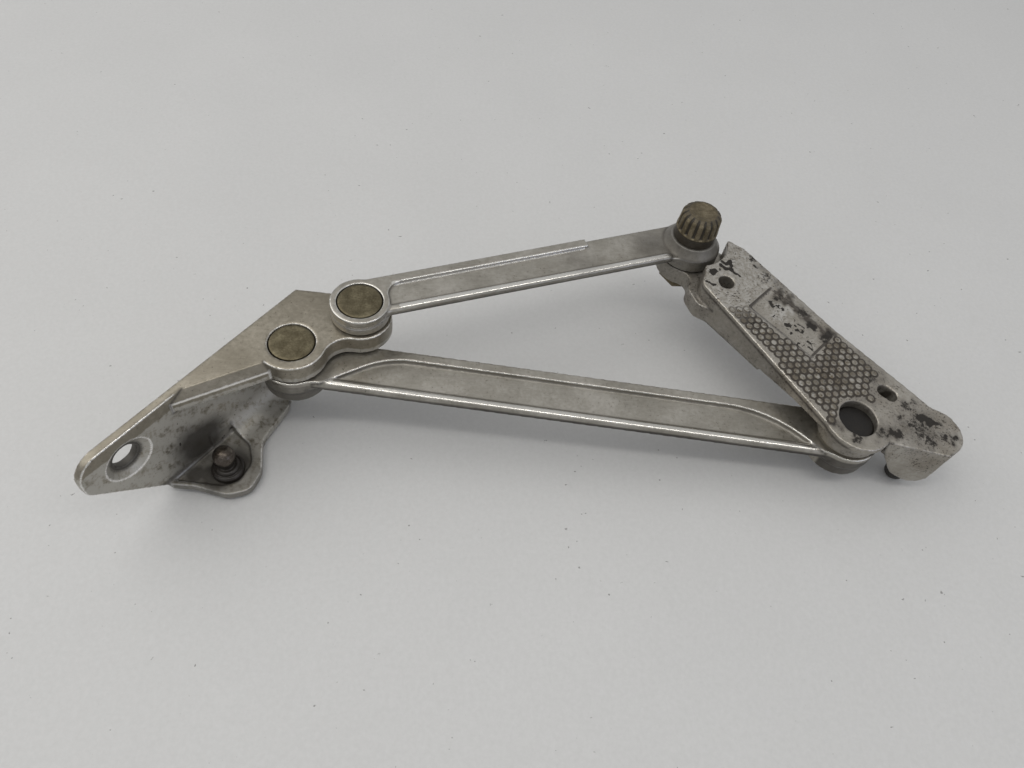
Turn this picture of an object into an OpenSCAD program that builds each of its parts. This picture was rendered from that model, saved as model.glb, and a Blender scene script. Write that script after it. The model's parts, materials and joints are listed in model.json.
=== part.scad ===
// Boot lid hinge: a four-bar linkage in cast aluminium. A body bracket and a lid bracket
// are joined by an upper and a lower link. All sizes are in millimetres. The drawing is laid
// out about the lid bracket's lower pivot and then moved so that the origin is the mouth of
// the locating hole in the body bracket. Z runs along the four pivots.

/* [Pivots] */
// lid bracket: upper pivot, distance along X from its lower pivot
lid_upper_x = 22.6; // [21:0.1:25]
// lid bracket: upper pivot, distance along Y from its lower pivot
lid_upper_y = 14.9; // [14:0.1:18]
// body bracket: upper pivot, X from the lid's lower pivot
body_upper_x = 152.9; // [148:0.1:158]
// body bracket: upper pivot, Y from the lid's lower pivot
body_upper_y = 62.4; // [59:0.1:66]
// body bracket: lower pivot, X from the lid's lower pivot
body_lower_x = 206.5; // [200:0.1:214]
// body bracket: lower pivot, Y from the lid's lower pivot
body_lower_y = -17.3; // [-20:0.1:-14]
// radius of every pivot shank
shank_r = 5; // [4.5:0.1:5.5]
// radius of the two flush pin heads on the lid side
head_r = 8; // [7.5:0.1:8.4]
// thickness of the pin heads
head_h = 3; // [2:0.1:3.5]
// width of the dark ring around each flush head
head_ring = 0.35; // [0.2:0.05:0.5]
// wall of the plain bushes in the link eyes
bush_wall = 1.5; // [1:0.1:2]
// step from the edge of an eye to the edge of its thrust washer
washer_inset = 1.4; // [0.8:0.1:2]
// height of the layer that holds a thrust washer
washer_h = 1; // [0.8:0.1:1.5]

/* [Clearances] */
// radial play of a shank in its bush
run_gap = 0.04; // [0.02:0.01:0.08]
// radial gap drawn around a bush in its eye
seat_gap = 0.05; // [0.04:0.01:0.06]
// end play between a washer and the face it runs on
end_gap = 0.05; // [0.03:0.01:0.15]
// gap across the pivot where the linkage is opened
shear_gap = 0.25; // [0.15:0.05:0.4]

/* [Upper link] */
// top of the lid end eye above the lid bracket's face
upper_top = 8; // [7:0.1:9]
// depth of the channel in the upper face
upper_channel = 1.4; // [1:0.1:1.8]
// thickness of the web under the channel
upper_web = 2.4; // [2:0.1:3]
// radius of the eye at the lid end
upper_lid_eye_r = 10.8; // [10.4:0.1:11.2]
// radius of the eye at the body end
upper_body_eye_r = 12.1; // [11.8:0.1:12.6]
// height of the sloping shoulder around the splined bolt
upper_shoulder = 3.6; // [3:0.1:4.2]
// half width of the bar above the pivot line, at the lid end
upper_edge_lid = 9.8; // [9:0.1:10.2]
// half width of the bar above the pivot line, at the body end
upper_edge_body = 11.2; // [10.6:0.1:11.6]
// half width of the bar below the pivot line
upper_edge_low = 6.8; // [6:0.1:7.5]
// width of the raised rim along the upper edge
upper_rim_w = 4; // [3:0.1:5]
// share of the bar length that carries the raised rim
upper_rim_share = 0.68; // [0.6:0.01:0.75]
// radius of the rounded bead along the lower edge
upper_bead_r = 1.7; // [1.4:0.1:2]

/* [Lower link] */
// thickness of the eyes
lower_eye_h = 11; // [10:0.1:12]
// thickness of the bar at its rim
lower_bar_h = 4.5; // [4:0.1:5.5]
// depth of the long recess
lower_recess = 1.8; // [1.2:0.1:2.2]
// radius of both eyes
lower_eye_r = 12.4; // [11.8:0.1:12.8]
// half width of the bar
lower_half_w = 9.7; // [9:0.1:10.4]
// height of the recess edge above the pivot line
lower_recess_edge = 5.7; // [5:0.1:6.5]
// radius of the rounded bead along the lower edge
lower_bead_r = 1.9; // [1.5:0.1:2.2]

/* [Lid bracket] */
// thickness of the flange that holds both pivots
lid_h = 8; // [7:0.1:9]
// radius of the boss at the lower pivot
lid_lower_boss_r = 12.4; // [11.8:0.1:13]
// radius of the boss at the upper pivot
lid_upper_boss_r = 11.6; // [11.2:0.1:12]
// radius of the waist between the bosses
lid_waist_r = 9; // [7:0.5:12]
// direction of the side plate in plan, degrees from X
plate_dir = 55.3; // [52:0.1:58]
// distance from the lower pivot to the near face of the side plate
plate_off = 13.3; // [13.2:0.1:14]
// thickness of the side plate
plate_t = 3.4; // [3:0.1:4]
// depth of the side plate below the flange's face
plate_drop = 40.5; // [38:0.5:43]
// length of the side plate from the pivot to its tip
plate_tip = 79; // [75:0.5:82]
// radius of the bolt hole in the side plate
lid_hole_r = 4.5; // [4:0.1:4.8]
// radius of the dished seat around the bolt hole
lid_spot_r = 8.5; // [8:0.1:9]
// thickness of the shelf that carries the ball stud
shelf_t = 3.6; // [3:0.1:4.5]
// radius of the ball
ball_r = 4; // [3.8:0.1:4.4]
// height of the ball's centre above the shelf
ball_rise = 10; // [9.5:0.1:11]
// radius of the ball stud's foot on the shelf
stud_foot_r = 6; // [5.6:0.1:6.3]
// length of the hollow round between the side plate and the shelf
fillet_len = 33; // [28:0.5:34]

/* [Body bracket] */
// height of the pad's face at the lower pivot
pad_z = 1.2; // [0.8:0.1:1.8]
// rise of the pad's face, mm per mm towards the upper pivot
pad_slope = 0.085; // [0.075:0.005:0.09]
// half width of the pad on the side that faces the links
pad_left = 12.6; // [12:0.1:13]
// radius of the pad around the lower pivot
pad_boss_r = 13.4; // [13:0.1:14]
// radius of the boss under the pad at the lower pivot
boss_r = 11.8; // [11.4:0.1:12.4]
// radius of the deep hole over the lower pivot
deep_hole_r = 7.3; // [7:0.1:7.6]
// depth from the pad's face to the black pin head
deep_hole_drop = 2.8; // [2:0.1:3]
// radius of the locating hole
locate_r = 3.2; // [3:0.1:3.4]
// width of the oblong hole
slot_w = 5.2; // [4.8:0.1:5.6]
// length of the oblong hole
slot_len = 8; // [7.4:0.1:8.6]
// gap between the pad and the upper link's eye
eye_cut = 2.7; // [2.4:0.1:3.2]
// radius of the lug under the upper pivot
lug_r = 11.5; // [11:0.1:12]
// lowest point of the tab under the nose
tab_drop = 21; // [19:0.5:23]
// radius of the rubber stop
stop_r = 3.8; // [3.4:0.1:4.2]
// lowest point of the rubber stop
stop_drop = 28; // [26:0.5:30]

/* [Splined bolt head] */
// radius at the foot of the head
knob_r = 8.6; // [8.3:0.1:8.8]
// radius below the top chamfer
knob_top_r = 8.1; // [7.8:0.1:8.2]
// height of the head above its collar
knob_h = 9.4; // [8.5:0.1:10.5]
// number of grooves
knob_grooves = 16; // [12:1:18]

/* [Hidden] */
$fn = 64;

lid_upper = [lid_upper_x, lid_upper_y];
body_upper = [body_upper_x, body_upper_y];
body_lower = [body_lower_x, body_lower_y];
upper_len = norm(body_upper - lid_upper);
lower_len = norm(body_lower);
ground_len = norm(body_upper - body_lower);
bush_r = shank_r + bush_wall;
// a hollow round cuts this far into its neighbours, so that it never only touches them
bite = 0.06;
upper_floor = upper_top - upper_channel;
upper_bar_z = upper_floor - upper_web;
upper_fillet = 6;
turn_y = -upper_edge_low - upper_fillet + bite;
turn_x = sqrt(pow(upper_lid_eye_r + upper_fillet - bite, 2) - turn_y * turn_y);
upper_bead_y = -upper_edge_low + upper_bead_r - 0.4;
upper_bead_z = upper_top - upper_bead_r - 0.1;
shoulder_z = upper_floor + upper_shoulder;
lower_top = -lid_h - washer_h;
lower_floor = lower_top - lower_recess;
lower_bottom = lower_top - lower_eye_h;
lower_bead_y = -lower_half_w + lower_bead_r - 0.4;
lower_bead_z = lower_top - lower_bead_r - 0.2;
tail_h = 1.55;
rivet_h = 1.4;
collar_h = 3.4;
shoulder_r = knob_r + 0.6;
stud_shank_r = 4;
fillet_r = 8.6;
tail_washer_r = shank_r + 4.4;
lug_bottom = -lid_h + 0.5;
deep_seat = pad_z - deep_hole_drop - head_h;
plate_n = [sin(plate_dir), -cos(plate_dir)];
plate_d = [cos(plate_dir), sin(plate_dir)];
shelf_z = -plate_drop;
stud_q = -37.5;
stud_n = 11.8 - plate_off;
stud_pos = plate_n * stud_n + plate_d * stud_q;
lid_hole_q = -plate_tip + 16.6;
lid_hole_z = -13;
seat_r = lid_hole_r + 1.4;
locate_u = ground_len - 24.5;
locate_v = 2.9;
slot_pos = [2, -19.2];
pad_dir = atan2(body_upper_y - body_lower_y, body_upper_x - body_lower_x);
locate_xy = body_lower + locate_u * [cos(pad_dir), sin(pad_dir)] + locate_v * [-sin(pad_dir), cos(pad_dir)];
locate_z = pad_z + pad_slope * locate_u;

function unit(v) = v / norm(v);
function angle_of(v) = atan2(v[1], v[0]);

// corner of a path rounded to radius q[2], as points
function rounded(p, q, s) =
    let (c = [q[0], q[1]],
        a = unit([p[0], p[1]] - c),
        b = unit([s[0], s[1]] - c),
        half = acos(a * b) / 2,
        m = c + unit(a + b) * (q[2] / sin(half)),
        t0 = c + a * (q[2] / tan(half)),
        t1 = c + b * (q[2] / tan(half)),
        g0 = angle_of(t0 - m),
        turn = (angle_of(t1 - m) - g0 + 540) % 360 - 180,
        n = max(1, ceil(abs(turn) / 7)))
    [for (i = [0:n]) m + q[2] * [cos(g0 + turn * i / n), sin(g0 + turn * i / n)]];

// closed path of [x, y, radius]; radius 0 keeps the corner sharp
function path(pts) =
    let (n = len(pts))
    [for (i = [0:n - 1])
        each pts[i][2] > 0
            ? rounded(pts[(i + n - 1) % n], pts[i], pts[(i + 1) % n])
            : [[pts[i][0], pts[i][1]]]];

module in_frame() {
    translate([-locate_xy[0], -locate_xy[1], -locate_z])
        children();
}

module at_upper_link() {
    in_frame()
        translate([lid_upper_x, lid_upper_y, 0])
            rotate(angle_of(body_upper - lid_upper))
                children();
}

module at_lower_link() {
    in_frame()
        rotate(angle_of(body_lower))
            children();
}

// u runs from the lower to the upper body pivot
module at_pad() {
    in_frame()
        translate([body_lower_x, body_lower_y, 0])
            rotate(pad_dir)
                children();
}

module at_plate() {
    in_frame()
        translate([-plate_n[0] * plate_off, -plate_n[1] * plate_off, 0])
            rotate([90, 0, plate_dir])
                children();
}

module post(r, z0, z1) {
    translate([0, 0, z0])
        cylinder(r = r, h = z1 - z0);
}

module slab(z0, z1) {
    translate([0, 0, z0])
        linear_extrude(z1 - z0)
            children();
}

module ring(r0, r1, z0, z1) {
    difference() {
        post(r1, z0, z1);
        post(r0, z0 - 1, z1 + 1);
    }
}

// fills the corner between an eye at x and a straight edge at height y with a hollow round
module eye_fillet(x, r, y, fillet, side) {
    yc = y + sign(y) * (fillet - bite);
    cx = x + side * sqrt(pow(r + fillet - bite, 2) - yc * yc);
    difference() {
        polygon([[x, 0], [cx, 0], [cx, yc]]);
        translate([cx, yc])
            circle(r = fillet);
    }
}

// waist between two bosses, hollow on the right of the line from a to b
module waist(a, ra, b, rb, hollow) {
    d = norm(b - a);
    e = unit(b - a);
    la = ra + hollow - bite;
    lb = rb + hollow - bite;
    x = (d * d + la * la - lb * lb) / (2 * d);
    h = sqrt(la * la - x * x);
    c = a + e * x + [e[1], -e[0]] * h;
    difference() {
        polygon([a, b, c]);
        translate(c)
            circle(r = hollow);
    }
}

module bead(r, from, to) {
    d = to - from;
    translate(from)
        rotate([0, 90, angle_of(d)])
            cylinder(r = r, h = norm(d));
    translate(from)
        sphere(r = r);
    translate(to)
        sphere(r = r);
}

module upper_link() {
    slope = (upper_edge_body - upper_edge_lid) / upper_len;
    rim_end = upper_len * upper_rim_share;
    rim_in = upper_edge_lid - upper_rim_w;
    color("silver")
        at_upper_link()
            difference() {
                union() {
                    slab(upper_bar_z, upper_floor) {
                        polygon([[0, -upper_edge_low], [upper_len, -upper_edge_low],
                            [upper_len, upper_edge_body], [0, upper_edge_lid]]);
                        eye_fillet(0, upper_lid_eye_r, -upper_edge_low, upper_fillet, 1);
                        eye_fillet(upper_len, upper_body_eye_r, -upper_edge_low, 9, -1);
                    }
                    post(upper_lid_eye_r, washer_h, upper_top);
                    translate([upper_len, 0, 0]) {
                        post(upper_body_eye_r, washer_h, upper_floor);
                        translate([0, 0, upper_floor])
                            cylinder(r1 = upper_body_eye_r - 0.3, r2 = shoulder_r, h = upper_shoulder);
                    }
                    slab(upper_floor - 0.5, upper_top) {
                        polygon([[0, rim_in], [rim_end, rim_in + slope * rim_end],
                            [rim_end, upper_edge_lid + slope * rim_end], [0, upper_edge_lid]]);
                        channel_end(upper_lid_eye_r, rim_in, 6);
                    }
                    bead(upper_bead_r, [turn_x, upper_bead_y, upper_bead_z],
                        [upper_len - upper_body_eye_r - 1.5, upper_bead_y, upper_bead_z]);
                    translate([turn_x, turn_y, upper_bead_z])
                        rotate(90)
                            rotate_extrude(angle = angle_of([-turn_x, -turn_y]) - 90)
                                translate([upper_bead_y - turn_y, 0])
                                    circle(r = upper_bead_r - bite);
                }
                post(shank_r, washer_h - 1, upper_top + 1);
                post(head_r + head_ring, upper_top - head_h, upper_top + 1);
                translate([upper_len, 0, 0])
                    post(bush_r + seat_gap, washer_h - 1, shoulder_z + 1);
                lid_eye_groove();
            }
}

// rounded end of the channel beside the lid end eye
module channel_end(r, y, fillet) {
    yc = y - fillet + bite;
    cx = sqrt(pow(r + fillet - bite, 2) - yc * yc);
    difference() {
        polygon([[0, 0], [cx, yc], [cx, y + 0.3], [0, y + 0.3]]);
        translate([cx, yc])
            circle(r = fillet);
    }
}

// shallow groove around the lid end eye
module lid_eye_groove() {
    z = (washer_h + upper_top) / 2;
    difference() {
        ring(upper_lid_eye_r - 0.35, upper_lid_eye_r + 1, z - 0.35, z + 0.35);
        translate([upper_lid_eye_r - 3.5, -10, z - 2])
            cube([12, 30, 4]);
    }
}

module lower_link() {
    edge = lower_recess_edge;
    color("silver")
        at_lower_link()
            difference() {
                union() {
                    difference() {
                        slab(lower_top - lower_bar_h, lower_top) {
                            polygon([[0, -lower_half_w], [lower_len, -lower_half_w],
                                [lower_len, lower_half_w], [0, lower_half_w]]);
                            for (s = [-1, 1]) {
                                eye_fillet(0, lower_eye_r, s * lower_half_w, 14, 1);
                                eye_fillet(lower_len, lower_eye_r, s * lower_half_w, 14, -1);
                            }
                        }
                        slab(lower_floor, lower_top + 1)
                            polygon(path([[5.4, -14, 0], [33, edge, 30],
                                [lower_len - 29.5, edge, 46], [lower_len - 4.5, -14, 0]]));
                    }
                    for (x = [0, lower_len])
                        translate([x, 0, 0]) {
                            post(lower_eye_r, lower_bottom + lower_eye_h * 0.45, lower_top);
                            post(lower_eye_r - 0.5, lower_bottom, lower_top);
                        }
                    bead(lower_bead_r, [bush_r + 1, lower_bead_y, lower_bead_z],
                        [lower_len - bush_r - 1, lower_bead_y, lower_bead_z]);
                }
                for (x = [0, lower_len])
                    translate([x, 0, 0])
                        post(bush_r + seat_gap, lower_bottom - 1, lower_top + 1);
            }
}

module plate_outline() {
    polygon(path([[-plate_tip, 0, 9], [-plate_tip, -14.5, 6], [-plate_tip + 26, -plate_drop - shelf_t, 0],
        [2, -plate_drop - shelf_t, 4], [18.6, -lid_h + 2.5, 0], [18.6, 0, 0]]));
}

module shelf_outline() {
    f = -plate_off;
    back = f - plate_t / 2;
    pts = [[-54.5, back, 0], [-54.5, f + 1, 0], [-50, f + 8, 6], [-45.5, f + 19.5, 7], [-39, f + 24.5, 6],
        [-31, f + 22, 6], [-21, f + 12.5, 9], [-2, f + 9, 6], [4, back, 0]];
    polygon(path([for (p = pts) [p[0] * plate_d[0] + p[1] * plate_n[0],
        p[0] * plate_d[1] + p[1] * plate_n[1], p[2]]]));
}

// pocket in the shelf around the ball stud, with a corner beside the plate at each end
module pocket_outline() {
    q = stud_q;
    n = stud_n;
    f = -plate_off + 0.7;
    pts = [[q - 14.9, f, 0], [q - 6, n + 3.9, 4], [q - 1, n + 6.9, 4], [q + 7.3, n + 4.7, 5],
        [q + 12.3, n - 1.5, 5], [q + 13, f, 0]];
    polygon(path([for (p = pts) [p[0] * plate_d[0] + p[1] * plate_n[0],
        p[0] * plate_d[1] + p[1] * plate_n[1], p[2]]]));
}

// flange that joins both bosses to the side plate, without its bosses
module flange_outline() {
    back = plate_off + plate_t;
    c1 = plate_d * 19.3 - plate_n * back;
    c2 = -plate_d * 43 - plate_n * back;
    c3 = -plate_d * 43 - plate_n * (plate_off - 0.2);
    polygon([c1, [lid_upper_x - 9.5, lid_upper_y + 9.8], lid_upper, [0, 0], [-6, -10],
        [-6, -11.4], c3, c2]);
}

module lid_bracket() {
    bevel_dir = angle_of([-6, -11.4] + plate_d * 43 + plate_n * (plate_off - 0.2));
    color("silver")
        difference() {
            union() {
                in_frame() {
                    difference() {
                        slab(-lid_h, 0)
                            flange_outline();
                        translate([-6, -11.4, 0])
                            rotate([0, 0, bevel_dir])
                                translate([-60, 0, 0])
                                    rotate([90, 0, 90])
                                        linear_extrude(120)
                                            polygon([[-0.5, 0.5], [3, 0.5], [-0.5, -4.2]]);
                    }
                    slab(-lid_h, 0) {
                        circle(r = lid_lower_boss_r);
                        translate(lid_upper)
                            circle(r = lid_upper_boss_r);
                        waist([0, 0], lid_lower_boss_r, lid_upper, lid_upper_boss_r, lid_waist_r);
                    }
                    slab(shelf_z - shelf_t, shelf_z)
                        shelf_outline();
                }
                at_plate() {
                    slab(-plate_t, 0)
                        plate_outline();
                    translate([lid_hole_q, lid_hole_z, 0])
                        post(lid_spot_r + 0.6, -plate_t - 1.8, -plate_t + 0.5);
                    plate_fillet();
                }
            }
            in_frame() {
                post(shank_r, -lid_h - 1, 1);
                post(head_r + head_ring, -head_h, 1);
                translate([lid_upper_x, lid_upper_y, 0]) {
                    post(shank_r, -lid_h - 1, 1);
                    post(shank_r + 2.2, -lid_h - 1, -lid_h + 2);
                }
                translate([stud_pos[0], stud_pos[1], 0]) {
                    post(stud_shank_r, shelf_z - shelf_t - 1, shelf_z + 1);
                }
                slab(shelf_z - 1, shelf_z + 20)
                    pocket_outline();
            }
            at_plate()
                translate([lid_hole_q, lid_hole_z, 0]) {
                    post(lid_hole_r, -plate_t - 3, 1);
                    translate([0, 0, -2])
                        cylinder(r1 = seat_r, r2 = lid_spot_r + (lid_spot_r - seat_r) / 4, h = 2.5);
                }
        }
}

// hollow round between the side plate and the shelf, beside the ball stud
module plate_fillet() {
    r = fillet_r;
    translate([-fillet_len - 1, -plate_drop, 0])
        difference() {
            translate([0, -1, -1])
                cube([fillet_len, r + 1, r + 1]);
            translate([-1, r, r])
                rotate([0, 90, 0])
                    cylinder(r = r + bite, h = fillet_len + 3);
        }
}

module ball_stud() {
    color("dimgray")
        in_frame()
            translate([stud_pos[0], stud_pos[1], shelf_z - 1]) {
                post(stud_shank_r, -shelf_t + 1, 1);
                post(stud_foot_r, 0, 2.6);
                post(stud_foot_r - 1.5, 2, 4.2);
                post(ball_r - 1.4, 3, ball_rise);
                translate([0, 0, ball_rise])
                    sphere(r = ball_r);
            }
}

module pad_outline() {
    g = ground_len;
    polygon(path([[0, pad_left, 0], [g - 20.6, pad_left, 5], [g - 13.1, 4, 0], [g - 7.1, -8, 0],
        [g - 8.3, -13.4, 1], [g - 14.6, -16.6, 6], [g - 62, -21.9, 0], [1.8, -28.1, 12],
        [-11, -30.4, 6], [-17, -34.4, 7], [-29, -33, 9], [-29, -20.5, 7], [-13.2, -3, 0], [0, -8, 0]]));
}

// outline under the pad: neck, bulge and lug
module lug_outline() {
    g = ground_len;
    polygon(path([[g - 58, pad_left - 1.6, 0], [g - 29, pad_left, 6], [g - 24, 15.4, 5],
        [g - 15, 13, 6], [g - 12, 7, 5], [g, lug_r, 0], [g, -lug_r, 0], [g - 14, -16, 0],
        [g - 58, -20, 0]]));
}

module nose_outline() {
    polygon(path([[-8, -14, 0], [-13.2, -3.2, 0], [-28.9, -20.5, 6.5], [-28.9, -32.9, 8.5],
        [-17, -34.2, 7], [-11, -30.2, 5], [0, -26, 0]]));
}

// everything above the sloping face of the pad
module over_pad() {
    translate([0, 0, pad_z])
        rotate([0, -atan(pad_slope), 0])
            translate([-100, -100, 0])
                cube([300, 200, 40]);
}

module pad_profile() {
    g = ground_len;
    rotate([90, 0, 0])
        translate([0, 0, -60])
            linear_extrude(120)
                polygon([[-60, -2.8], [20, -2.8], [g - 28, lug_bottom], [g + 20, lug_bottom],
                    [g + 20, 30], [-60, 30]]);
}

module tab_outline() {
    d = tab_drop;
    polygon(path([[-1, 0, 0], [1, -7, 8], [9, -d + 2.6, 9], [17, -d - 1, 7], [23, -d + 1, 5], [23.8, 0, 0]]));
}

module body_bracket() {
    g = ground_len;
    color("silver")
        difference() {
            union() {
                difference() {
                    at_pad() {
                        intersection() {
                            slab(-20, 30) {
                                pad_outline();
                                circle(r = pad_boss_r);
                            }
                            pad_profile();
                        }
                        slab(lug_bottom, 10) {
                            nose_outline();
                            translate(slot_pos)
                                circle(r = slot_len / 2 + 3.4);
                        }
                        post(boss_r, -lid_h, 0);
                    }
                    at_pad() {
                        over_pad();
                        translate([g, 0, 0])
                            post(upper_body_eye_r + eye_cut, -30, 30);
                    }
                }
                at_pad() {
                    slab(lug_bottom, 0) {
                        lug_outline();
                        translate([g, 0])
                            circle(r = lug_r);
                    }
                }
                in_frame()
                    translate([body_lower_x + 10, body_lower_y - 9.4, 0])
                        rotate([90, 0, -8.5])
                            slab(-3.2, 0)
                                tab_outline();
            }
            at_pad() {
                post(deep_hole_r, deep_seat, 30);
                post(shank_r, -lid_h - 1, 30);
                translate([g, 0, 0])
                    post(shank_r, lug_bottom - 1, 30);
                translate([locate_u, locate_v, 0])
                    post(locate_r, -30, 30);
                slab(-30, 30)
                    slot();
                plate_recess();
                over_pad();
            }
            stop_seat();
        }
}

module slot() {
    d = slot_len - slot_w;
    translate(slot_pos)
        rotate(21.6) {
            square([d, slot_w], center = true);
            for (s = [-1, 1])
                translate([s * d / 2, 0])
                    circle(r = slot_w / 2);
        }
}

// shallow rectangle in the pad's face
module plate_recess() {
    translate([0, 0, pad_z])
        rotate([0, -atan(pad_slope), 0])
            translate([28.4, -3.2, -0.5])
                rotate(11.6)
                    translate([0, -15.4, 0])
                        cube([30, 15.4, 3]);
}

module stop_seat() {
    in_frame()
        translate([body_lower_x + 27, body_lower_y - 4.8, 0])
            post(2.5, lug_bottom - 1, lug_bottom + 4);
}

module stop_buffer() {
    color("black")
        in_frame()
            translate([body_lower_x + 27, body_lower_y - 4.8, 0]) {
                post(2.5, lug_bottom - 1, lug_bottom + 4);
                post(stop_r, -stop_drop + 1.2, lug_bottom);
                translate([0, 0, -stop_drop])
                    cylinder(r1 = stop_r - 1.2, r2 = stop_r, h = 1.2);
            }
}

module riveted_tail() {
    post(shank_r, lower_bottom - end_gap - tail_h - rivet_h, 0);
    post(shank_r + 1.6, lower_bottom - end_gap - tail_h - rivet_h, lower_bottom - end_gap - tail_h);
}

module lid_lower_pin() {
    color("darkkhaki")
        in_frame()
            intersection() {
                union() {
                    post(head_r, -head_h, 0);
                    riveted_tail();
                }
                post(30, -60, 0);
            }
}

module body_lower_pin() {
    color("black")
        at_pad()
            difference() {
                union() {
                    post(deep_hole_r, deep_seat, deep_seat + head_h);
                    riveted_tail();
                }
                post(30, deep_seat + head_h, 30);
            }
}

module lid_upper_pin() {
    color("darkkhaki")
        at_upper_link() {
            post(head_r, upper_top - head_h, upper_top);
            post(shank_r, shear_gap, upper_top);
        }
}

module lid_upper_pin_foot() {
    color("darkkhaki")
        in_frame()
            translate([lid_upper_x, lid_upper_y, 0]) {
                post(shank_r, -lid_h, 0);
                post(shank_r + 2.2, -lid_h, -lid_h + 2);
            }
}

module body_upper_bolt() {
    z0 = shoulder_z + end_gap + collar_h;
    color("dimgray")
        at_pad()
            translate([ground_len, 0, 0])
                difference() {
                    union() {
                        post(shank_r, lug_bottom - 5.5, z0 + 1);
                        translate([0, 0, z0])
                            cylinder(r1 = knob_r, r2 = knob_top_r, h = knob_h - 2);
                        translate([0, 0, z0 + knob_h - 2])
                            cylinder(r1 = knob_top_r, r2 = knob_top_r - 2.4, h = 2);
                    }
                    for (i = [0:knob_grooves - 1])
                        rotate(i * 360 / knob_grooves)
                            translate([knob_r + 0.35, 0, z0 + 1.2])
                                rotate([0, -atan((knob_r - knob_top_r) / knob_h), 0])
                                    cylinder(r = 0.9, h = knob_h + 2);
                }
}

module body_upper_collar() {
    color("dimgray")
        at_pad()
            translate([ground_len, 0, 0])
                ring(shank_r, knob_r - 0.2, shoulder_z + end_gap, shoulder_z + end_gap + collar_h);
}

module body_upper_nut() {
    color("dimgray")
        at_pad()
            translate([ground_len, 0, 0])
                difference() {
                    translate([0, 0, lug_bottom - 5])
                        cylinder(r = shank_r * 1.72, h = 5, $fn = 6);
                    post(shank_r, lug_bottom - 6, lug_bottom + 1);
                }
}

module lid_lower_tail_washer() {
    color("gray")
        at_lower_link()
            ring(shank_r, tail_washer_r, lower_bottom - end_gap - tail_h, lower_bottom - end_gap);
}

module body_lower_tail_washer() {
    color("gray")
        at_lower_link()
            translate([lower_len, 0, 0])
                ring(shank_r, tail_washer_r, lower_bottom - end_gap - tail_h, lower_bottom - end_gap);
}

module lid_lower_bush() {
    color("goldenrod")
        at_lower_link()
            ring(shank_r + run_gap, bush_r, lower_bottom, lower_top);
}

module body_lower_bush() {
    color("goldenrod")
        at_lower_link()
            translate([lower_len, 0, 0])
                ring(shank_r + run_gap, bush_r, lower_bottom, lower_top);
}

module body_upper_bush() {
    color("goldenrod")
        at_upper_link()
            translate([upper_len, 0, 0])
                ring(shank_r + run_gap, bush_r, washer_h, shoulder_z);
}

module lid_lower_washer() {
    color("gray")
        at_lower_link()
            ring(shank_r + run_gap, lower_eye_r - washer_inset, lower_top, -lid_h - end_gap);
}

module body_lower_washer() {
    color("gray")
        at_lower_link()
            translate([lower_len, 0, 0])
                ring(shank_r + run_gap, lower_eye_r - washer_inset, lower_top, -lid_h - end_gap);
}

module lid_upper_washer() {
    color("gray")
        at_upper_link()
            ring(shank_r, upper_lid_eye_r - washer_inset / 2, shear_gap, washer_h);
}

module body_upper_washer() {
    color("gray")
        at_upper_link()
            translate([upper_len, 0, 0])
                ring(shank_r + run_gap, upper_body_eye_r - washer_inset, end_gap, washer_h);
}

body_bracket();
stop_buffer();
body_upper_bolt();
body_upper_collar();
body_upper_nut();
body_lower_pin();
body_lower_tail_washer();
lower_link();
lid_lower_bush();
body_lower_bush();
lid_lower_washer();
body_lower_washer();
lid_bracket();
lid_lower_pin();
lid_lower_tail_washer();
lid_upper_pin_foot();
ball_stud();
upper_link();
lid_upper_pin();
lid_upper_washer();
body_upper_bush();
body_upper_washer();
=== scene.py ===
import json
import math
import bpy
import bmesh
import numpy as np
from mathutils import Matrix, Vector, kdtree
from mathutils.bvhtree import BVHTree

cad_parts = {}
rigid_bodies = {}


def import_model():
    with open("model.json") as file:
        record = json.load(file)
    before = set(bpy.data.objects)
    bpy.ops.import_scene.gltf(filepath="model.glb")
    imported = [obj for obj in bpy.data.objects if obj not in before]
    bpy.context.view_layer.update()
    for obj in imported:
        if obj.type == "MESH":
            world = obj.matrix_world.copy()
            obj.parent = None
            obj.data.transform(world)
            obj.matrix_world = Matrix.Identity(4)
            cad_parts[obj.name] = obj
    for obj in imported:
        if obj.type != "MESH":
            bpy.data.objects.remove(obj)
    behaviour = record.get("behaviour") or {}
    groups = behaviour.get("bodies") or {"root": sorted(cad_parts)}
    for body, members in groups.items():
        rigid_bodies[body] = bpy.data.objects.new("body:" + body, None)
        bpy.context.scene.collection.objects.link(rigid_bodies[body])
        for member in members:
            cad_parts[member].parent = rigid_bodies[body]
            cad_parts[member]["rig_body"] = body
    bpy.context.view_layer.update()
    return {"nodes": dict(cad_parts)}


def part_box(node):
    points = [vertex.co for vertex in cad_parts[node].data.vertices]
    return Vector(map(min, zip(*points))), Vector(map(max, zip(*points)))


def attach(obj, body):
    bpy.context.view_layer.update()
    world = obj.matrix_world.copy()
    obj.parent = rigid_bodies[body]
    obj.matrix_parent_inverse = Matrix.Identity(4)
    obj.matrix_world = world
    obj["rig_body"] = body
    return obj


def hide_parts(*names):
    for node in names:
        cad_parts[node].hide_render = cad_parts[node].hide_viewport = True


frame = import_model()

cadNodes = frame["nodes"]
scene = bpy.context.scene
scene.view_settings.view_transform = "Standard"
mm = 0.001
print("frame loaded,", len(cadNodes), "solids")

# pivots and the lid bracket's face in the part's frame, in mm
lidLower = (-164.166, -40.452)
lidUpper = (-141.566, -25.552)
bodyUpper = (-11.266, 21.949)
bodyLower = (42.334, -57.752)
faceZ = -7.2815

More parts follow.
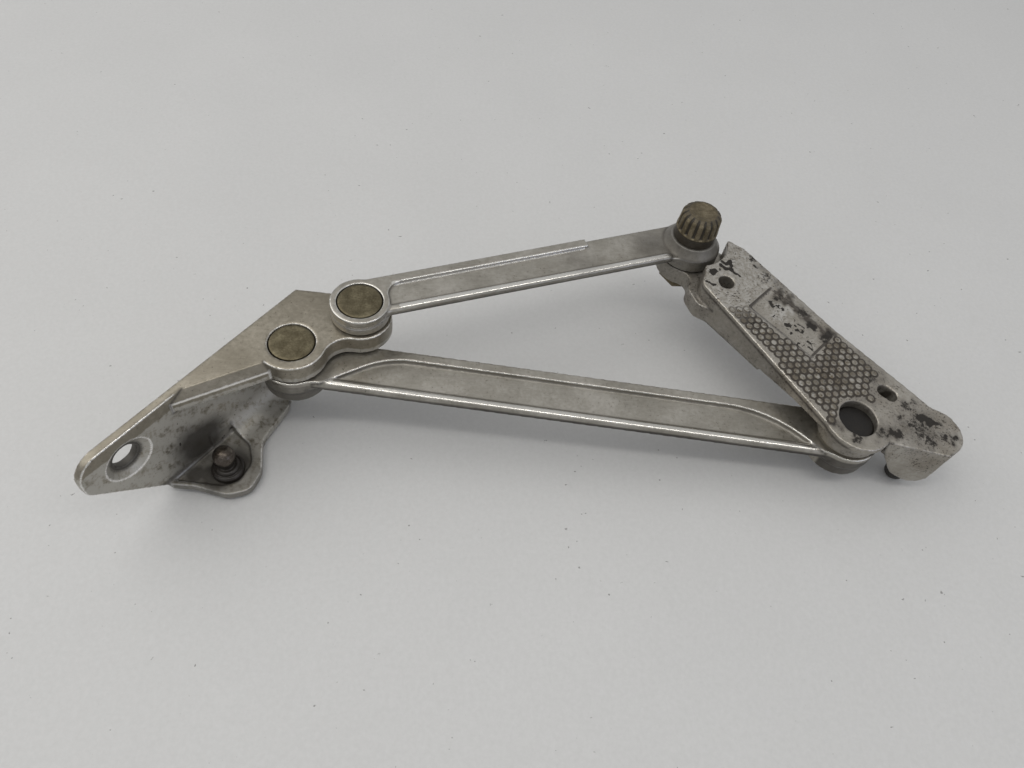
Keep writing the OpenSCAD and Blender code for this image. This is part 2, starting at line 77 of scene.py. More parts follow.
pad = {
    "along": (-0.55806, 0.82980),  # from the lower to the upper body pivot
    "across": (-0.82980, -0.55806),  # towards the links
    "up": (0.047265, -0.070280, 0.996407),
    "height": -6.0815,
    "slope": 0.085,
}
plate = {
    "along": (0.56928, 0.82214),  # from the tip to the pivots
    "behind": 13.3,  # the lower pivot's distance from the plate
    "hole": (-62.4, -13.0),
}


def padPoint(u, v, lift=0.0):  # a place on the pad's sloping face, mm
    x = bodyLower[0] + pad["along"][0] * u + pad["across"][0] * v
    y = bodyLower[1] + pad["along"][1] * u + pad["across"][1] * v
    return (x, y, pad["height"] + pad["slope"] * u + lift)


def platePoint(q, z, off=0.0):  # a place on the side plate: q along it, off in front of it, mm
    c, s = plate["along"]
    x = lidLower[0] + c * q + s * (off - plate["behind"])
    y = lidLower[1] + s * q - c * (off - plate["behind"])
    return (x, y, faceZ + z)


def plateCoords(points):  # the other way round, for many points
    c, s = plate["along"]
    x, y = points[:, 0] - lidLower[0], points[:, 1] - lidLower[1]
    return x * c + y * s, points[:, 2] - faceZ, x * s - y * c + plate["behind"]


def linkPoint(start, end, x, y, z):  # x along a link from its lid pivot, y to its left, z above the lid bracket's face
    length = math.dist(start, end)
    c, s = (end[0] - start[0]) / length, (end[1] - start[1]) / length
    return (start[0] + c * x - s * y, start[1] + s * x + c * y, faceZ + z)


def linkCoords(points, start, end):  # a link's x, y and z for many points
    length = math.dist(start, end)
    c, s = (end[0] - start[0]) / length, (end[1] - start[1]) / length
    x, y = points[:, 0] - start[0], points[:, 1] - start[1]
    return x * c + y * s, y * c - x * s, points[:, 2] - faceZ


def hexToLinear(text):
    parts = [int(text[i:i + 2], 16) / 255 for i in (1, 3, 5)]
    return [c / 12.92 if c <= 0.04045 else ((c + 0.055) / 1.055) ** 2.4 for c in parts] + [1.0]


def perMm(size):  # pattern scale from its real size in mm
    return 1000.0 / size


def addNode(tree, kind, settings=None, links=None):
    node = tree.nodes.new(kind)
    for key, value in (settings or {}).items():
        if key == "stops":
            ramp = node.color_ramp
            while len(ramp.elements) < len(value):
                ramp.elements.new(0.5)
            for element, (place, colour) in zip(ramp.elements, value):
                element.position, element.color = place, colour
        elif isinstance(key, int) or key in node.inputs:
            node.inputs[key].default_value = value
        else:
            setattr(node, key, value)
    for key, source in (links or {}).items():
        tree.links.new(source, node.inputs[key])
    return node


def startMaterial(name):
    material = bpy.data.materials.new(name)
    material.use_nodes = True
    tree = material.node_tree
    tree.nodes.clear()
    shader = addNode(tree, "ShaderNodeBsdfPrincipled")
    addNode(tree, "ShaderNodeOutputMaterial", {}, {"Surface": shader.outputs[0]})
    place = addNode(tree, "ShaderNodeTexCoord").outputs["Object"]
    return material, tree, shader, place


# Aluminium, pressure die cast and then tumbled: a satin grey skin with warm cloudy tones,
# fine pits, and bright lines on edges and beads, partly rubbed wear and partly painted highlight. Corners, recesses and
# undersides are darkened with dirt and painted shade; on the lid bracket's side plate a pale mix is painted light.
def castAluminium(name, tone):
    material, tree, shader, place = startMaterial(name)
    cloud = addNode(tree, "ShaderNodeTexNoise", {"Scale": perMm(tone["cloudMm"]), "Detail": 4.0}, {"Vector": place})
    skin = addNode(tree, "ShaderNodeTexNoise", {"Scale": perMm(1.5), "Detail": 6.0, "Roughness": 0.68}, {"Vector": place})
    # the tumbled grain is near 0.1 mm; it is drawn at 0.45 mm so that it shows
    grain = addNode(tree, "ShaderNodeTexNoise", {"Scale": perMm(0.45), "Detail": 2.0}, {"Vector": place})
    turned = addNode(tree, "ShaderNodeMapping", {"Rotation": (0.0, 0.0, math.radians(-tone["rubDir"])),
                     "Scale": (perMm(9.0), perMm(0.5), perMm(1.2))}, {"Vector": place})
    rub = addNode(tree, "ShaderNodeTexNoise", {"Scale": 1.0, "Detail": 4.0, "Roughness": 0.6},
                  {"Vector": turned.outputs[0]})
    mask = {}
    for key in ("polish", "grime", "soot", "tar", "oxide"):
        mask[key] = addNode(tree, "ShaderNodeAttribute", {"attribute_name": key}).outputs["Fac"]
    # cloudy base
    blend = addNode(tree, "ShaderNodeMath", {"operation": "MULTIPLY_ADD", 1: 0.45}, {0: skin.outputs["Fac"]})
    half = addNode(tree, "ShaderNodeMath", {"operation": "MULTIPLY", 1: 0.55}, {0: cloud.outputs["Fac"]})
    tree.links.new(half.outputs[0], blend.inputs[2])
    colour = addNode(tree, "ShaderNodeValToRGB", {"stops": [(0.36, hexToLinear(tone["dark"])),
                     (0.5, hexToLinear(tone["middle"])), (0.64, hexToLinear(tone["light"]))]},
                     {"Fac": blend.outputs[0]}).outputs[0]
    # rubbed streaks along the piece
    streak = addNode(tree, "ShaderNodeMapRange", {1: 0.52, 2: 0.74, 3: 0.0, 4: tone["rub"]},
                     {0: rub.outputs["Fac"]}).outputs[0]
    colour = addNode(tree, "ShaderNodeMix", {"data_type": "RGBA", 7: hexToLinear(tone["light"])},
                     {0: streak, 6: colour}).outputs[2]
    # thin brown film in patches
    patch = addNode(tree, "ShaderNodeTexNoise", {"Scale": perMm(tone["filmMm"]), "Detail": 7.0, "Roughness": 0.66},
                    {"Vector": place})
    film = addNode(tree, "ShaderNodeMapRange", {1: 0.5, 2: 0.68, 3: 0.0, 4: tone["film"]},
                   {0: patch.outputs["Fac"]}).outputs[0]
    colour = addNode(tree, "ShaderNodeMix", {"data_type": "RGBA", 7: hexToLinear(tone["filmColour"])},
                     {0: film, 6: colour}).outputs[2]
    # white oxide bloom; the same pale mix on the lid bracket's side plate is painted light
    bloom = addNode(tree, "ShaderNodeMath", {"operation": "MULTIPLY_ADD", 1: 1.1},
                    {0: skin.outputs["Fac"], 2: mask["oxide"]})
    oxide = addNode(tree, "ShaderNodeMapRange", {1: 0.92, 2: 1.22, 3: 0.0, 4: 0.85}, {0: bloom.outputs[0]}).outputs[0]
    colour = addNode(tree, "ShaderNodeMix", {"data_type": "RGBA", 7: hexToLinear(tone["oxideAndLightColour"])},
                     {0: oxide, 6: colour}).outputs[2]
    # dark pits, gathered in places
    pit = addNode(tree, "ShaderNodeTexNoise", {"Scale": perMm(0.8), "Detail": 2.0, "Roughness": 0.5}, {"Vector": place})
    pitSpot = addNode(tree, "ShaderNodeMapRange", {1: tone["pitFrom"], 2: tone["pitFrom"] + 0.07, 3: 0.0, 4: tone["pits"]},
                      {0: pit.outputs["Fac"]})
    pitArea = addNode(tree, "ShaderNodeMapRange", {1: 0.42, 2: 0.6}, {0: patch.outputs["Fac"]})
    pits = addNode(tree, "ShaderNodeMath", {"operation": "MULTIPLY"}, {0: pitSpot.outputs[0],
            1: pitArea.outputs[0]}).outputs[0]
    colour = addNode(tree, "ShaderNodeMix", {"data_type": "RGBA", 7: hexToLinear(tone["pitColour"])},
                     {0: pits, 6: colour}).outputs[2]
    # rubbed edges, also painted highlights along edges and beads
    rubAndHighlight = addNode(tree, "ShaderNodeMath", {"operation": "MULTIPLY_ADD", 1: 0.7},
                     {0: skin.outputs["Fac"], 2: mask["polish"]})
    polish = addNode(tree, "ShaderNodeMapRange", {1: 0.72, 2: 1.15, 3: 0.0, 4: tone["polish"]},
                     {0: rubAndHighlight.outputs[0]}).outputs[0]
    colour = addNode(tree, "ShaderNodeMix", {"data_type": "RGBA", 7: hexToLinear(tone["polishAndHighlightColour"])},
                     {0: polish, 6: colour}).outputs[2]
    # soot and corner dirt, with painted shade under beads, in corners, recesses and pockets
    sootAndShadeEdge = addNode(tree, "ShaderNodeMath", {"operation": "MULTIPLY_ADD", 1: 0.7},
                       {0: patch.outputs["Fac"], 2: mask["soot"]})
    soot = addNode(tree, "ShaderNodeMapRange", {1: 0.5, 2: 1.15, 3: 0.0, 4: 0.88}, {0: sootAndShadeEdge.outputs[0]}).outputs[0]
    colour = addNode(tree, "ShaderNodeMix", {"data_type": "RGBA", 7: hexToLinear(tone["sootAndShadeColour"])},
                     {0: soot, 6: colour}).outputs[2]
    grimeAndShadeEdge = addNode(tree, "ShaderNodeMath", {"operation": "MULTIPLY_ADD", 1: 0.8},
                        {0: skin.outputs["Fac"], 2: mask["grime"]})
    grime = addNode(tree, "ShaderNodeMapRange", {1: 0.62, 2: 1.15, 3: 0.0, 4: tone["grime"]},
                    {0: grimeAndShadeEdge.outputs[0]}).outputs[0]
    colour = addNode(tree, "ShaderNodeMix", {"data_type": "RGBA", 7: hexToLinear(tone["grimeAndShadeColour"])},
                     {0: grime, 6: colour}).outputs[2]
    # lumps of black road tar with ragged edges
    ragged = addNode(tree, "ShaderNodeTexNoise", {"Scale": perMm(1.25), "Detail": 5.0, "Roughness": 0.75},
                     {"Vector": place})
    tarEdge = addNode(tree, "ShaderNodeMath", {"operation": "MULTIPLY"}, {0: ragged.outputs["Fac"], 1: mask["tar"]})
    tar = addNode(tree, "ShaderNodeMapRange", {1: 0.25, 2: 0.31}, {0: tarEdge.outputs[0]}).outputs[0]
    colour = addNode(tree, "ShaderNodeMix", {"data_type": "RGBA", 7: hexToLinear(tone["tarColour"])},
                     {0: tar, 6: colour}).outputs[2]
    tree.links.new(colour, shader.inputs["Base Color"])
    # the oxide skin and the painted paleness scatter some of the light; dirt and painted shade hide the metal
    cover = addNode(tree, "ShaderNodeMath", {"operation": "MAXIMUM"}, {0: grime, 1: soot})
    cover = addNode(tree, "ShaderNodeMath", {"operation": "MAXIMUM"}, {0: cover.outputs[0], 1: tar})
    half = addNode(tree, "ShaderNodeMath", {"operation": "MULTIPLY", 1: 0.55}, {0: oxide})
    cover = addNode(tree, "ShaderNodeMath", {"operation": "MAXIMUM"}, {0: cover.outputs[0], 1: half.outputs[0]})
    bare = addNode(tree, "ShaderNodeMath", {"operation": "MULTIPLY_ADD", 1: -0.55, 2: tone["metal"], "use_clamp": True},
                   {0: cover.outputs[0]})
    tree.links.new(bare.outputs[0], shader.inputs["Metallic"])
    matt = addNode(tree, "ShaderNodeMapRange", {1: 0.3, 2: 0.7, 3: tone["rough"] - 0.07, 4: tone["rough"] + 0.1},
                   {0: skin.outputs["Fac"]})
    matt = addNode(tree, "ShaderNodeMath", {"operation": "MULTIPLY_ADD", 1: -0.26}, {0: polish, 2: matt.outputs[0]})
    matt = addNode(tree, "ShaderNodeMath", {"operation": "MULTIPLY_ADD", 1: 0.25, "use_clamp": True},
                   {0: cover.outputs[0], 2: matt.outputs[0]})
    tree.links.new(matt.outputs[0], shader.inputs["Roughness"])
    relief = addNode(tree, "ShaderNodeMath", {"operation": "MULTIPLY_ADD", 1: 0.5},
                     {0: grain.outputs["Fac"], 2: skin.outputs["Fac"]})
    relief = addNode(tree, "ShaderNodeMath", {"operation": "MULTIPLY_ADD", 1: -0.7}, {0: pits, 2: relief.outputs[0]})
    relief = addNode(tree, "ShaderNodeMath", {"operation": "MULTIPLY_ADD", 1: 1.6}, {0: tar, 2: relief.outputs[0]})
    bump = addNode(tree, "ShaderNodeBump", {"Strength": tone["relief"], "Distance": 0.12 * mm},
                   {"Height": relief.outputs[0]})
    tree.links.new(bump.outputs[0], shader.inputs["Normal"])
    return material


# Steel, rolled, turned and plated, gone dull with age: tarnish clouds, fine random scuffs.
def agedSteel(name, tone):
    material, tree, shader, place = startMaterial(name)
    cloud = addNode(tree, "ShaderNodeTexNoise", {"Scale": perMm(tone["cloudMm"]), "Detail": 6.0, "Roughness": 0.62},
                    {"Vector": place})
    speck = addNode(tree, "ShaderNodeTexNoise", {"Scale": perMm(0.7), "Detail": 4.0, "Roughness": 0.7}, {"Vector": place})
    turned = addNode(tree, "ShaderNodeMapping",
                     {"Rotation": (0.0, 0.0, 0.6), "Scale": (perMm(5.0), perMm(0.3), perMm(0.8))}, {"Vector": place})
    scuff = addNode(tree, "ShaderNodeTexNoise", {"Scale": 1.0, "Detail": 3.0}, {"Vector": turned.outputs[0]})
    blend = addNode(tree, "ShaderNodeMath", {"operation": "MULTIPLY_ADD", 1: 0.4}, {0: speck.outputs["Fac"]})
    half = addNode(tree, "ShaderNodeMath", {"operation": "MULTIPLY", 1: 0.6}, {0: cloud.outputs["Fac"]})
    tree.links.new(half.outputs[0], blend.inputs[2])
    colour = addNode(tree, "ShaderNodeValToRGB", {"stops": [(0.36, hexToLinear(tone["dark"])),
                     (0.5, hexToLinear(tone["middle"])), (0.64, hexToLinear(tone["light"]))]},
                     {"Fac": blend.outputs[0]}).outputs[0]
    line = addNode(tree, "ShaderNodeMapRange", {1: 0.6, 2: 0.75, 3: 0.0, 4: tone["scuff"]},
                   {0: scuff.outputs["Fac"]}).outputs[0]
    colour = addNode(tree, "ShaderNodeMix", {"data_type": "RGBA", 7: hexToLinear(tone["light"])},
                     {0: line, 6: colour}).outputs[2]
    worn = addNode(tree, "ShaderNodeAttribute", {"attribute_name": "polish"}).outputs["Fac"]
    worn = addNode(tree, "ShaderNodeMath", {"operation": "MULTIPLY_ADD", 1: 0.8}, {0: speck.outputs["Fac"], 2: worn})
    worn = addNode(tree, "ShaderNodeMapRange", {1: 0.8, 2: 1.3, 3: 0.0, 4: 0.75}, {0: worn.outputs[0]}).outputs[0]
    colour = addNode(tree, "ShaderNodeMix", {"data_type": "RGBA", 7: hexToLinear(tone["wornColour"])},
                     {0: worn, 6: colour}).outputs[2]
    # dirt and painted shade in grooves, collars and feet, from the mask
    dirtAndPaintedLight = addNode(tree, "ShaderNodeAttribute", {"attribute_name": "grime"}).outputs["Fac"]
    dirtAndPaintedLight = addNode(tree, "ShaderNodeMath", {"operation": "MULTIPLY_ADD", 1: 0.8}, {0: speck.outputs["Fac"], 2: dirtAndPaintedLight})
    dirtAndPaintedLight = addNode(tree, "ShaderNodeMapRange", {1: 0.6, 2: 1.1, 3: 0.0, 4: 0.9}, {0: dirtAndPaintedLight.outputs[0]}).outputs[0]
    colour = addNode(tree, "ShaderNodeMix", {"data_type": "RGBA", 7: hexToLinear(tone["dirtAndShadeColour"])},
                     {0: dirtAndPaintedLight, 6: colour}).outputs[2]
    tree.links.new(colour, shader.inputs["Base Color"])
    bare = addNode(tree, "ShaderNodeMath", {"operation": "MULTIPLY_ADD", 1: -0.75, 2: tone["metal"]}, {0: dirtAndPaintedLight})
    tree.links.new(bare.outputs[0], shader.inputs["Metallic"])
    matt = addNode(tree, "ShaderNodeMapRange", {1: 0.3, 2: 0.7, 3: tone["rough"] - 0.08, 4: tone["rough"] + 0.12},
                   {0: cloud.outputs["Fac"]})
    tree.links.new(matt.outputs[0], shader.inputs["Roughness"])
    relief = addNode(tree, "ShaderNodeMath", {"operation": "MULTIPLY_ADD", 1: 0.6},
                     {0: scuff.outputs["Fac"], 2: speck.outputs["Fac"]})
    bump = addNode(tree, "ShaderNodeBump", {"Strength": tone["relief"], "Distance": 0.08 * mm},
                   {"Height": relief.outputs[0]})
    tree.links.new(bump.outputs[0], shader.inputs["Normal"])
    return material


# Natural rubber, moulded and dusty: a matt black with a grey bloom.
def mouldedRubber(name, tone):
    material, tree, shader, place = startMaterial(name)
    dust = addNode(tree, "ShaderNodeTexNoise", {"Scale": perMm(1.8), "Detail": 6.0, "Roughness": 0.7}, {"Vector": place})
    colour = addNode(tree, "ShaderNodeValToRGB",
                     {"stops": [(0.4, hexToLinear(tone["dark"])), (0.66, hexToLinear(tone["light"]))]},
                     {"Fac": dust.outputs["Fac"]})
    tree.links.new(colour.outputs[0], shader.inputs["Base Color"])
    matt = addNode(tree, "ShaderNodeMapRange", {1: 0.3, 2: 0.7, 3: 0.55, 4: 0.8}, {0: dust.outputs["Fac"]})
    tree.links.new(matt.outputs[0], shader.inputs["Roughness"])
    bump = addNode(tree, "ShaderNodeBump", {"Strength": 0.3, "Distance": 0.1 * mm}, {"Height": dust.outputs["Fac"]})
    tree.links.new(bump.outputs[0], shader.inputs["Normal"])
    return material


def unevenPoints(points, swing):  # points pushed about by a few fixed waves, so that marks lose their round outline
    rng = np.random.default_rng(11)
    moved = points.copy()
    for wave in (7.0, 4.2, 2.6, 1.7):
        for axis in range(3):
            heading = rng.normal(size=3)
            heading *= 2 * math.pi / wave / np.linalg.norm(heading)
            moved[:, axis] += swing * wave / 7.0 * np.sin(points @ heading + rng.uniform(0, 6.28))
    return moved


def spotField(points, spots):  # soft round masks; points and spots in mm
    field = np.zeros(len(points))
    for place, radius, strength in spots:
        away = np.linalg.norm(points - np.array(place), axis=1) / radius
        t = np.clip(1.0 - away, 0.0, 1.0)
        field = np.maximum(field, strength * t * t * (3 - 2 * t))
    return field


def lineField(points, start, end, reach):  # full along a round bead, gone at reach, mm
    a, b = np.array(start), np.array(end)
    t = np.clip((points - a) @ (b - a) / ((b - a) @ (b - a)), 0.0, 1.0)
    away = np.linalg.norm(points - a - t[:, None] * (b - a), axis=1)
    return np.clip((reach - away) / (0.25 * reach), 0.0, 1.0)


def setMask(mesh, name, values):
    layer = mesh.attributes.new(name, "FLOAT", "POINT")
    layer.data.foreach_set("value", np.asarray(values, np.float32))


def showPiece(name, mesh, material, nodeName):
    piece = bpy.data.objects.new(name, mesh)
    scene.collection.objects.link(piece)
    mesh.polygons.foreach_set("use_smooth", [True] * len(mesh.polygons))
    mesh.materials.clear()
    mesh.materials.append(material)
    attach(piece, cadNodes[nodeName]["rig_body"])
    return piece


castingSpec = {"flatArea": 30e-6, "sharpAngle": 0.45, "edgeStep": 0.5, "snap": 0.07, "snapFade": 0.045}
markSwing = {"grime": 0.9, "soot": 0.0, "tar": 0.7, "oxide": 1.5}  # how uneven the marks' outlines are


# A casting: the solid is remeshed finely and its edges eased, flat faces are kept flat,
# and masks for rubbed edges with painted highlights, and for dirty corners with painted shade, are stored on its
# points.
def softenCasting(nodeName, spec):
    source = cadNodes[nodeName]
    rough = bpy.data.objects.new(nodeName + "_rough", source.data.copy())
    scene.collection.objects.link(rough)
    rough.modifiers.new("weld", "WELD").merge_threshold = 1e-6
    remesh = rough.modifiers.new("remesh", "REMESH")
    remesh.mode, remesh.voxel_size = "VOXEL", spec["voxelMm"] * mm
    ease = rough.modifiers.new("ease", "SMOOTH")
    ease.factor, ease.iterations = 0.5, spec["easing"]
    bpy.context.view_layer.update()
    mesh = bpy.data.meshes.new_from_object(rough.evaluated_get(bpy.context.evaluated_depsgraph_get()))
    bpy.data.objects.remove(rough)
    mesh.name = nodeName + "_casting"
    form = bmesh.new()
    form.from_mesh(source.data)
    bmesh.ops.remove_doubles(form, verts=form.verts, dist=1e-6)
    form.faces.ensure_lookup_table()
    form.normal_update()
    keys, areas = [], {}
    for face in form.faces:
        n = face.normal
        key = (round(n.x, 3), round(n.y, 3), round(n.z, 3), round(n.dot(face.verts[0].co) / mm, 1))
        keys.append(key)
        areas[key] = areas.get(key, 0.0) + face.calc_area()
    flat = [areas[key] > castingSpec["flatArea"] for key in keys]
    tree = BVHTree.FromBMesh(form)
    ridge, corner = [], []
    for edge in form.edges:
        if len(edge.link_faces) == 2 and edge.calc_face_angle(0.0) > castingSpec["sharpAngle"]:
            a, b = edge.verts[0].co, edge.verts[1].co
            steps = max(1, int((b - a).length / (castingSpec["edgeStep"] * mm)))
            (ridge if edge.is_convex else corner).extend(a.lerp(b, i / steps) for i in range(steps + 1))
    form.free()
    lookups = []
    for places in (ridge, corner):
        lookup = kdtree.KDTree(max(1, len(places)))
        for i, co in enumerate(places):
            lookup.insert(co, i)
        if not places:
            lookup.insert((9, 9, 9), 0)
        lookup.balance()
        lookups.append(lookup)
    count = len(mesh.vertices)
    co = np.zeros(count * 3)
    mesh.vertices.foreach_get("co", co)
    co = co.reshape(-1, 3)
    far = np.zeros((count, 2))
    for i in range(count):
        p = Vector(co[i])
        near, _, index, away = tree.find_nearest(p)
        if flat[index] and away < castingSpec["snap"] * mm:
            t = min(1.0, max(0.0, (castingSpec["snap"] * mm - away) / (castingSpec["snapFade"] * mm)))
            co[i] = p.lerp(near, t)
        far[i] = lookups[0].find(p)[2], lookups[1].find(p)[2]
    mesh.vertices.foreach_set("co", co.ravel())
    mesh.update()
    points = co / mm
    far /= mm
    masks = {"polish": np.exp(-(far[:, 0] / spec["rubAndHighlightWidth"]) ** 2), "grime": np.exp(-(far[:, 1] / spec["dirtAndShadeWidth"]))}
    for start, end, reach in spec.get("rubAndHighlightLines", []):
        masks["polish"] = np.maximum(masks["polish"], lineField(points, start, end, reach))
    masks["polish"] *= 1.0 - spotField(points, spec.get("dullSpots", []))
    for start, end, reach in spec.get("grimeAndShadeLines", []):
        masks["grime"] = np.maximum(masks["grime"], lineField(points, start, end, reach))
    for start, end, reach in spec.get("dullLines", []):
        masks["polish"] *= 1.0 - lineField(points, start, end, reach)
    for key, swing in markSwing.items():
        masks[key] = np.maximum(masks.get(key, 0.0), spotField(unevenPoints(points, swing), spec.get(key + "Spots", [])))
    for start, end, reach in spec.get("tarLines", []):
        line = lineField(unevenPoints(points, markSwing["tar"]), start, end, reach)
        masks["tar"] = np.maximum(masks["tar"], 0.9 * line)
    if "limits" in spec:
        for key, field in spec["limits"](points).items():
            masks[key] = masks[key] * field
    if "extraMasks" in spec:
        for key, field in spec["extraMasks"](points).items():
            masks[key] = np.maximum(masks[key], field)
    for key, field in masks.items():
        setMask(mesh, key, field)
    piece = showPiece(nodeName + "_casting", mesh, castAluminium(spec["material"], spec), nodeName)
    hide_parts(nodeName)
    print(nodeName, "softened,", count, "points")
    return piece


castTone = {
    "dark": "#8e8a81", "middle": "#9d9990", "light": "#b0aca4", "cloudMm": 13.0, "rubDir": 0.0, "rub": 0.4,
    "film": 0.25, "filmMm": 20.0, "filmColour": "#7e776a", "pits": 0.75, "pitFrom": 0.66, "pitColour": "#3b362f",
    "oxideAndLightColour": "#bfbdb8", "tarColour": "#1e1913",
    "polish": 0.6, "polishAndHighlightColour": "#d9d7d2", "sootAndShadeColour": "#2c2823", "grime": 0.8, "grimeAndShadeColour": "#2f2a23",
    "metal": 0.9, "rough": 0.33, "relief": 0.2, "rubAndHighlightWidth": 0.6, "dirtAndShadeWidth": 0.7, "easing": 8,
}


lowerLinkDirtAndShade = {"beadUnder": -10.4, "beadFront": -7.6, "footUnder": -13.6, "eyeR": 13.2, "darkerTo": 90.0}


def lowerLinkMasks(points):  # painted shade with soot: the bead's underside and the lid eye's foot darkened, more towards the body end
    x, y, z = linkCoords(points, lidLower, bodyLower)
    dirtAndPaintedLight = lowerLinkDirtAndShade
    under = np.clip((dirtAndPaintedLight["beadUnder"] - z) / 0.8, 0.0, 1.0) * np.clip((dirtAndPaintedLight["beadFront"] - y) / 0.8, 0.0, 1.0)
    foot = np.clip((dirtAndPaintedLight["footUnder"] - z) / 1.0, 0.0, 1.0) * (np.hypot(x, y) < dirtAndPaintedLight["eyeR"])
    return {"soot": np.maximum(under * (0.42 + 0.34 * np.clip(x / dirtAndPaintedLight["darkerTo"], 0.0, 1.0)), 0.65 * foot)}


lowerLinkSpec = dict(
    castTone, material="tumbled cast aluminium, lower link", voxelMm=0.40, rubDir=-4.8, extraMasks=lowerLinkMasks,
    # painted highlight along the bead's top, with the rub
    rubAndHighlightLines=[(linkPoint(lidLower, bodyLower, 14, -8.3, -9.6), linkPoint(lidLower, bodyLower, 194, -8.3, -9.6), 1.2)],
)
softenCasting("lower_link", lowerLinkSpec)


upperLinkDirtAndShade = {"beadUnder": 6.3, "beadFront": -5.2, "beadStart": 10.0}


def upperLinkMasks(points):  # the bead's underside darkened: soot and painted shade
    x, y, z = linkCoords(points, lidUpper, bodyUpper)
    dirtAndPaintedLight = upperLinkDirtAndShade
    under = np.clip((dirtAndPaintedLight["beadUnder"] - z) / 0.8, 0.0, 1.0) * np.clip((dirtAndPaintedLight["beadFront"] - y) / 0.6, 0.0, 1.0)
    return {"soot": 0.42 * under * np.clip((x - dirtAndPaintedLight["beadStart"]) / 6, 0.0, 1.0)}


upperLinkSpec = dict(
    castTone, material="tumbled cast aluminium, upper link", voxelMm=0.32, rubDir=20.0, easing=13, grime=0.6, polish=0.8,
    film=0.35, extraMasks=upperLinkMasks,
    # painted highlights along the bead's top and the rim's edge, with the rub
    rubAndHighlightLines=[(linkPoint(lidUpper, bodyUpper, 14, -5.6, 7.6), linkPoint(lidUpper, bodyUpper, 124, -5.6, 7.6), 1.1),
              (linkPoint(lidUpper, bodyUpper, 14, 5.7, 7.4), linkPoint(lidUpper, bodyUpper, 92, 6.6, 7.4), 1.1)],
    # soot and painted shade round the knob's foot and towards the body end
    sootSpots=[((bodyUpper[0], bodyUpper[1], faceZ + 9.2), 24.0, 1.0), (linkPoint(lidUpper, bodyUpper, 122, 4, 7), 20.0,
            0.6),
               (linkPoint(lidUpper, bodyUpper, 88, 0, 7), 18.0, 0.4)],
    dullSpots=[((bodyUpper[0], bodyUpper[1], faceZ + 10.2), 14.0, 1.2)],
)
softenCasting("upper_link", upperLinkSpec)


lidBracketDirtShadeAndLight = {"paleBelow": -4.8, "ringR": 5.9, "shelfFloor": -37.5, "shelfEnd": -29.5, "sootAndShadeBehind": -1.6}


def lidBracketMasks(points):  # painted light: the side plate and the shelf painted paler than the flange; the bolt hole's wall darkened as painted shade, the shelf's floor with soot and painted shade
    q, z = plateCoords(points)[:2]
    dirtAndPaintedLight = lidBracketDirtShadeAndLight
    below = np.clip((dirtAndPaintedLight["paleBelow"] - z) / 1.0, 0.0, 1.0)
    ring = np.clip((dirtAndPaintedLight["ringR"] - np.hypot(q - plate["hole"][0], z - plate["hole"][1])) / 0.6, 0.0, 1.0)
    floor = np.clip((dirtAndPaintedLight["shelfFloor"] - z) / 1.5, 0.0, 1.0) * (q < dirtAndPaintedLight["shelfEnd"])
    cloudy = unevenPoints(points, 1.0)[:, 0] - points[:, 0]
    return {"oxide": (0.66 + 0.09 * cloudy) * below, "soot": np.maximum(1.1 * ring, 0.5 * floor)}


def lidBracketLimits(points):  # the soot and painted shade lie on the front of the side plate only
    off = plateCoords(points)[2]
    return {"soot": np.clip((off - lidBracketDirtShadeAndLight["sootAndShadeBehind"]) / 1.2, 0.0, 1.0)}


lidBracketSpec = dict(
    castTone, material="tumbled cast aluminium, lid bracket", voxelMm=0.42, rubDir=55.3, dark="#797366", middle="#857f72",
    light="#9a9487",
    # near-white rubbed edges, also painted highlights
    film=0.4, metal=0.75, polish=0.8, polishAndHighlightColour="#eceae6", oxideAndLightColour="#aeaba3", limits=lidBracketLimits,
    extraMasks=lidBracketMasks,
    # soot and painted shade round the ball stud's pocket and on the shelf
    sootSpots=[(platePoint(studQ, -41, 11.8), 13.5, 1.0) for studQ in (-37.5, -43, -33)]
    + [(platePoint(-37, -33), 17.5, 1.15), (platePoint(-41, -29), 13.5, 0.9), (platePoint(-46, -41, 4), 9.0, 0.95),
       (platePoint(-43, -41, 8), 10.0, 0.95)],
    tarSpots=[(platePoint(-44.7, -25.3), 1.5, 1.0), (platePoint(-20.3, -33.2), 1.9, 0.9),
              (platePoint(-19.6, -31.4), 1.5, 0.8),
              (platePoint(-24, -38.6), 4.0, 0.7), (platePoint(-29, -39), 3.4, 0.7)],
    # dirt and painted shade at the stud's foot and the shelf's end
    grimeSpots=[(platePoint(-37.5, -42, 11.8), 11.0, 1.0), (platePoint(-24, -39, 1), 7.0, 0.5)],
    dullSpots=[(platePoint(-37.5, -41, 11.8), 15.0, 1.0), (platePoint(*plate["hole"], -1.7), 7.5, 0.9),
               (platePoint(-12, -41, 10), 17.0, 1.0)],
    dullLines=[((-173.5, -50.7, faceZ), (-198.0, -64.5, faceZ), 1.6)],
)
softenCasting("lid_bracket", lidBracketSpec)

# Honeycomb cast into the pad's face, its grooves darkened with dirt and painted shade.
honeycombSpec = {
    "pitch": 3.05, "lean": 5.5, "stud": 2.25, "height": 0.2, "sink": 0.25, "origin": (13.0, 3.3), "rows": (-16, 12),
    "columns": (-10, 24),
    "from": 3.0, "to": 60.0, "front": 10.6, "back": -18.5, "bend": 34.0, "flare": (-0.19, -0.112),
    "holes": ((0.0, 0.0, 9.6), (71.5, 2.9, 8.0), (2.0, -19.2, 7.5)),  # u, v and clear radius
}
rectangle = {"corner": (28.4, -3.2), "turn": 11.6, "length": 30.0, "width": 15.4, "margin": 1.6}


